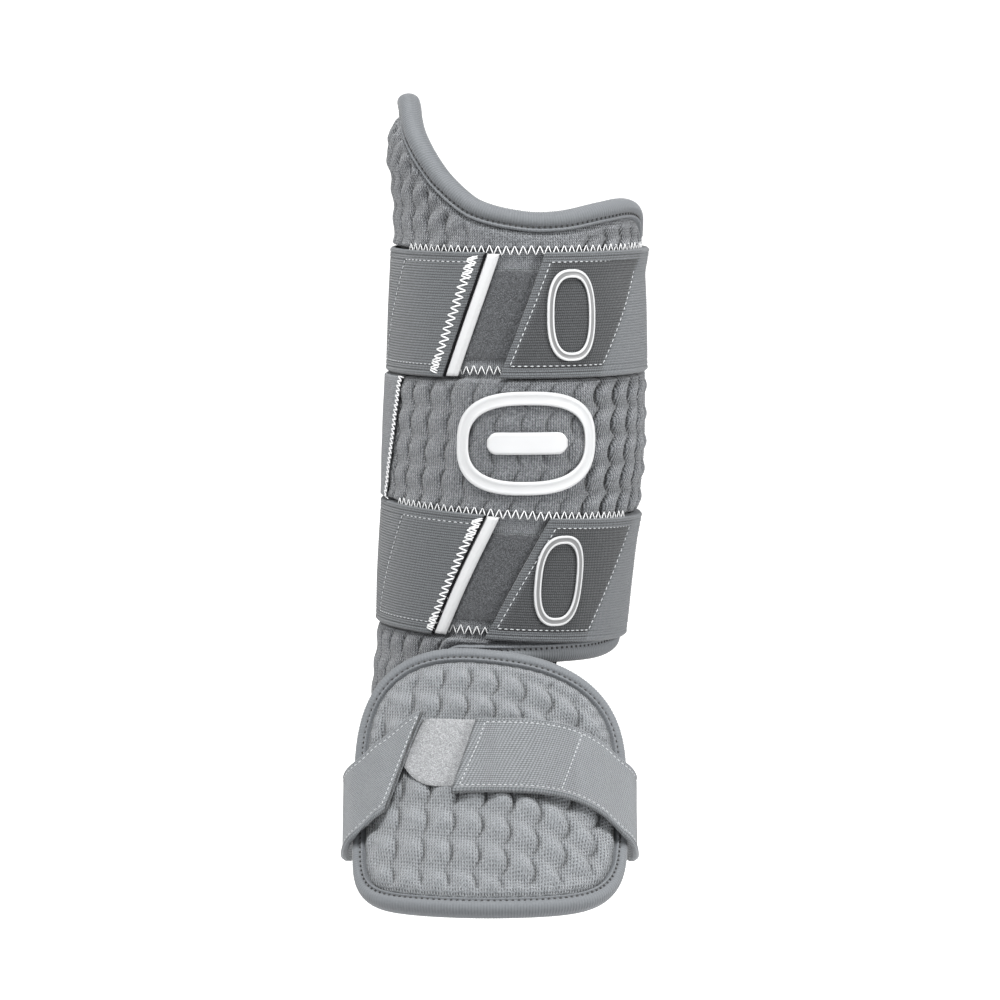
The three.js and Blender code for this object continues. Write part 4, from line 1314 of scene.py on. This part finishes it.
def foot_strap():
    """The instep strap: fine webbing with sewn edges, from the pile round the ankle and over the front."""
    size = sizes()
    wing, plain = FOOT_STRAP_ENDS["wing"], FOOT_STRAP_ENDS["plain"]

    def travelled(along, across):
        """Rows travelled round the loop at a share of the strap's length and width."""
        start = lerp(wing[1], wing[0], across)
        return lerp(start, FOOT_STRAP_ROUND + lerp(plain[1], plain[0], across), along)

    def tip(rows):
        """1 at the wing-side end's tip, falling to 0 behind it."""
        return smooth(1 - (rows - wing[0]) / 1.3)

    def lifted(rows):
        """How far the wing-side end stands off the guard."""
        return 1.8 * tip(rows) ** 1.5

    def pointed(rows, across):
        """A share across the strap, reaching higher at the wing-side end's pointed tip."""
        return across * (1 + FOOT_STRAP_TIP * tip(rows))

    def place(u, v, out):
        rows = travelled(u, v)
        rim = FOOT_STRAP_WIDTH * np.minimum(v, 1 - v)
        selvedge = 0.25 * near_line(rim, 0.9, 0.7) - 0.18 * near_line(rim, 2.1, 0.35)
        thin = 0.7 * near_line(rim, 0, 0.45)
        lower_roll = 0.35 * near_line(FOOT_STRAP_WIDTH * v, 1.0, 1.0)
        relief = selvedge - thin + lower_roll + 0.06 * ripples(rows * 14, v * 35, 6.0)
        outside = FOOT_STRAP_INSIDE + lifted(rows) + np.where(out, FOOT_STRAP_THICKNESS + relief, 0)
        points = foot_strap_point(foot_band(rows), pointed(rows, v), outside)
        # Painted highlight on the raised selvedge and painted shade in the groove inside it; the cut ends
        # and the sewn box are darker.
        shade = 1 - 0.25 * near_line(rim, 2.1, 0.4) + 0.15 * near_line(rim, 0.9, 0.6)
        shade = shade - 0.6 * (u < 0.001) - 0.45 * (u > 0.999)
        shade = shade - 0.12 * smooth((rows - FOOT_STRAP_ROUND + 2.1) / 0.2)
        return points, np.stack([rows * FOOT_STRAP_ROW, v * FOOT_STRAP_WIDTH], -1), shade

    mesh = slab("instep_webbing", (330, 90), (120, 20), place)
    webbing = shown("instep_webbing", mesh, "instep webbing", "instep_webbing", "instep_strap")

    def hem(u, v, out):
        rows = travelled(0, v) + lerp(-0.035, 0.8, u)
        across = pointed(rows, lerp(0.02, 0.985, v))
        outside = FOOT_STRAP_INSIDE + lifted(rows) - np.where(out, 0.25, 1.5)
        points = foot_strap_point(foot_band(rows), across, outside)
        shade = 1 - 0.6 * (u < 0.001) * (1 - out)
        return points, np.stack([rows * FOOT_STRAP_ROW, v * FOOT_STRAP_WIDTH], -1), shade

    mesh = slab("instep_hem", (20, 40), (20, 40), hem)
    shown("instep_hem", mesh, "instep webbing", "instep_webbing")

    def surface(row, v, lift):
        outside = FOOT_STRAP_INSIDE + FOOT_STRAP_THICKNESS + lift + lifted(row)
        return foot_strap_point(foot_band(row), pointed(row, v), outside)

    top, bottom, full = 0.93, 0.07, FOOT_STRAP_ROUND
    left = [(full + plain[0] - 0.2, top), (full + plain[1] - 0.15, bottom)]
    right = [(full - 2.2, top), (full - 1.55, bottom)]
    tip_top, tip_bottom = (wing[0] + 0.12, top), (wing[1] + 0.12, bottom)
    sewn = {
        "instep_dashes": [left, right, [left[0], right[0]], [left[1], right[1]]],
        "instep_stitches": [
            [(full - 4.5, top), right[0]],
            [(full - 4.5, bottom), right[1]],
            [tip_top, (wing[0] + 4, top)],
            [tip_bottom, (wing[1] + 3, bottom)],
            [tip_top, tip_bottom],
        ],
    }
    for name, lines in sewn.items():
        rows = [straight_stitch(surface, line, 0.0, *FOOT_STITCH) for line in lines]
        mesh = threads(name, *joined(*rows), size["thread_width"])
        shown(name, mesh, "grey thread", "instep_webbing")


def link_strip():
    """The black elastic strip that joins the two guards behind their bindings."""
    rows = len(LINK_PATH["pad"]) - 1

    def place(u, v, out):
        right = LINK_SHIFT + LINK_HALF_WIDTH * (2 * u - 1)
        under = np.where(out, 0, LINK_THICKNESS)
        pad, drop, over = (smooth_at(LINK_PATH[key], v * rows) for key in ("pad", "drop", "over"))
        back = pad_point(right, pad * PAD_HALF_RISE, PAD_THICKNESS + GAP + under)
        turn = np.degrees(np.arcsin(right / LEG_HALF_WIDTH))
        z = -SHELL_FRONT_DROP - drop * BINDING_WIDTH
        shell = leg_point(turn, z, -(SHELL_WALL + LINK_CLEARANCE + under), sunk=False)
        points = lerp(back, shell, np.clip(over, 0, 1)[:, None])
        return points, np.stack([right, v * 60], -1), 1 + 0 * u

    mesh = slab("link_strip", (40, 60), (20, 30), place)
    strip = shown("link_strip", mesh, "black elastic", "black_elastic", "link_tab")


# Stage

CAMERA_PLACE = (-0.0066, -2.1909, 0.1733)
CAMERA_DIP = 5.2  # degrees below level
CAMERA_LENS = 191.0
CAMERA_SENSOR = 36.0
CAMERA_SIGHT = 60.0
FLOOR_HEIGHT = -0.34
FLOOR_WIDTH = 24.0
FLOOR_REACH = (-12.0, 10.0)  # from its front edge to its back one
WORLD_STRENGTH = 0.38
LAMPS = {  # place and size in metres, and watts
    "right_panel": ((1.3, -0.7, 0.5), 0.5, 23),
    "left_panel": ((-1.2, -0.8, 0.8), 0.6, 14),
    "top_panel": ((-0.1, -0.75, 1.4), 0.5, 40),
}


def camera():
    """The camera, at the height and distance of the photograph's."""
    data = bpy.data.cameras.new("camera")
    data.sensor_width = CAMERA_SENSOR
    data.lens = CAMERA_LENS
    data.clip_end = CAMERA_SIGHT
    seen = bpy.data.objects.new("camera", data)
    seen.location = CAMERA_PLACE
    seen.rotation_euler = (math.radians(90 - CAMERA_DIP), 0, 0)
    bpy.context.scene.collection.objects.link(seen)
    bpy.context.scene.camera = seen


def lamp(name, place, size, energy):
    """A soft panel of light, aimed at the guard."""
    data = bpy.data.lights.new(name, "AREA")
    data.shape = "DISK"
    data.size = size
    data.energy = energy
    light = bpy.data.objects.new(name, data)
    light.location = place
    light.rotation_euler = Vector(place).to_track_quat("Z", "Y").to_euler()
    bpy.context.scene.collection.objects.link(light)


def floor_and_backdrop():
    """A pale floor that bends up all round, highest in the backdrop far behind the guard."""
    bm = bmesh.new()
    bmesh.ops.create_grid(bm, x_segments=48, y_segments=66, size=0.5)

    def place(x, y, _):
        right, far = FLOOR_WIDTH * x, lerp(*FLOOR_REACH, y + 0.5)
        past = np.clip((far - 5) / 3, 0, None)
        rim = np.clip((np.hypot(right, far) - 6) / 6, 0, None)
        rise = np.maximum(2.4 * past**2, 2 * rim**2)
        points = points_of(right, np.minimum(far, 5 + 3 * np.tanh(past)), FLOOR_HEIGHT + rise)
        return points / MM, np.stack([x, y], -1), 1.0

    mesh = finished("floor", bm, place)
    mesh.shade_smooth()
    mesh.materials.append(finish_named("pale floor"))
    floor = bpy.data.objects.new("floor", mesh)
    bpy.context.scene.collection.objects.link(floor)


def soft_light():
    """White light from all round, and three soft panels."""
    world = bpy.data.worlds.new("studio")
    world.use_nodes = True
    background = world.node_tree.nodes["Background"]
    background.inputs["Color"].default_value = (1, 1, 1, 1)
    background.inputs["Strength"].default_value = WORLD_STRENGTH
    bpy.context.scene.world = world
    bpy.context.scene.view_settings.view_transform = "Standard"
    for name, (place, size, energy) in LAMPS.items():
        lamp(name, place, size, energy)


# Operators


class LEGGUARD_OT_shin_shell(bpy.types.Operator):
    """Make the embossed shin shell and its binding"""

    bl_idname = "legguard.shin_shell"
    bl_label = "Shin Shell"

    def execute(self, context):
        shell_cover()
        # The shin's binding is painted a little darker (0.95) for how the light falls on it.
        binding_roll("shin_binding", shell_wall, BINDING_WIDTH, BINDING_THICKNESS, SHELL_WALL, 0.95)
        return {"FINISHED"}


class LEGGUARD_OT_panels(bpy.types.Operator):
    """Make the smooth side panel, the landing patches and their pile"""

    bl_idname = "legguard.panels"
    bl_label = "Panels and Pile"

    def execute(self, context):
        gusset()
        for name, strap in STRAPS.items():
            patches(name, strap)
        return {"FINISHED"}


class LEGGUARD_OT_calf_straps(bpy.types.Operator):
    """Make the two calf straps with their stitching, pull tabs and badges"""

    bl_idname = "legguard.calf_straps"
    bl_label = "Calf Straps"

    def execute(self, context):
        for name, strap in STRAPS.items():
            calf_webbing(name, strap)
            pull_tab(name, strap)
            strap_badge(name, strap)
        return {"FINISHED"}


class LEGGUARD_OT_shin_badge(bpy.types.Operator):
    """Make the moulded badge on the shin"""

    bl_idname = "legguard.shin_badge"
    bl_label = "Shin Badge"

    def execute(self, context):
        front_badge()
        return {"FINISHED"}


class LEGGUARD_OT_instep_guard(bpy.types.Operator):
    """Make the instep guard, its binding and its pile"""

    bl_idname = "legguard.instep_guard"
    bl_label = "Instep Guard"

    def execute(self, context):
        pad_cover()
        # The instep's binding is painted paler (1.3) for the light from above on it.
        binding_roll(
            "instep_binding", pad_wall, PAD_BINDING_WIDTH, PAD_BINDING_THICKNESS, PAD_EDGE_THICKNESS, 1.3
        )
        instep_pile()
        return {"FINISHED"}


class LEGGUARD_OT_instep_strap(bpy.types.Operator):
    """Make the strap over the instep and round the ankle"""

    bl_idname = "legguard.instep_strap"
    bl_label = "Instep Strap"

    def execute(self, context):
        foot_strap()
        return {"FINISHED"}


class LEGGUARD_OT_link(bpy.types.Operator):
    """Make the elastic link between the two guards"""

    bl_idname = "legguard.link"
    bl_label = "Link"

    def execute(self, context):
        link_strip()
        return {"FINISHED"}


class LEGGUARD_OT_stage(bpy.types.Operator):
    """Make the floor, the lights and the camera"""

    bl_idname = "legguard.stage"
    bl_label = "Stage"

    def execute(self, context):
        floor_and_backdrop()
        soft_light()
        camera()
        return {"FINISHED"}


OPERATORS = (
    LEGGUARD_OT_shin_shell,
    LEGGUARD_OT_panels,
    LEGGUARD_OT_calf_straps,
    LEGGUARD_OT_shin_badge,
    LEGGUARD_OT_instep_guard,
    LEGGUARD_OT_instep_strap,
    LEGGUARD_OT_link,
    LEGGUARD_OT_stage,
)


class LEGGUARD_PT_panel(bpy.types.Panel):
    """The leg guard's pieces and settings"""

    bl_idname = "LEGGUARD_PT_panel"
    bl_label = "Leg Guard"
    bl_space_type = "VIEW_3D"
    bl_region_type = "UI"
    bl_category = "Leg Guard"

    def draw(self, context):
        for operator in OPERATORS:
            self.layout.operator(operator.bl_idname)
        for settings in (context.scene.leg_guard_sizes, context.scene.leg_guard_colours):
            box = self.layout.box()
            for name in settings.__annotations__:
                box.prop(settings, name)


CLASSES = (LEGGUARD_PG_sizes, LEGGUARD_PG_colours, *OPERATORS, LEGGUARD_PT_panel)


def register():
    for cls in CLASSES:
        bpy.utils.register_class(cls)
    bpy.types.Scene.leg_guard_sizes = PointerProperty(type=LEGGUARD_PG_sizes)
    bpy.types.Scene.leg_guard_colours = PointerProperty(type=LEGGUARD_PG_colours)


def unregister():
    del bpy.types.Scene.leg_guard_colours
    del bpy.types.Scene.leg_guard_sizes
    for cls in reversed(CLASSES):
        bpy.utils.unregister_class(cls)


def main():
    register()
    for operator in OPERATORS:
        group, name = operator.bl_idname.split(".")
        getattr(getattr(bpy.ops, group), name)()


if __name__ == "__main__":
    main()
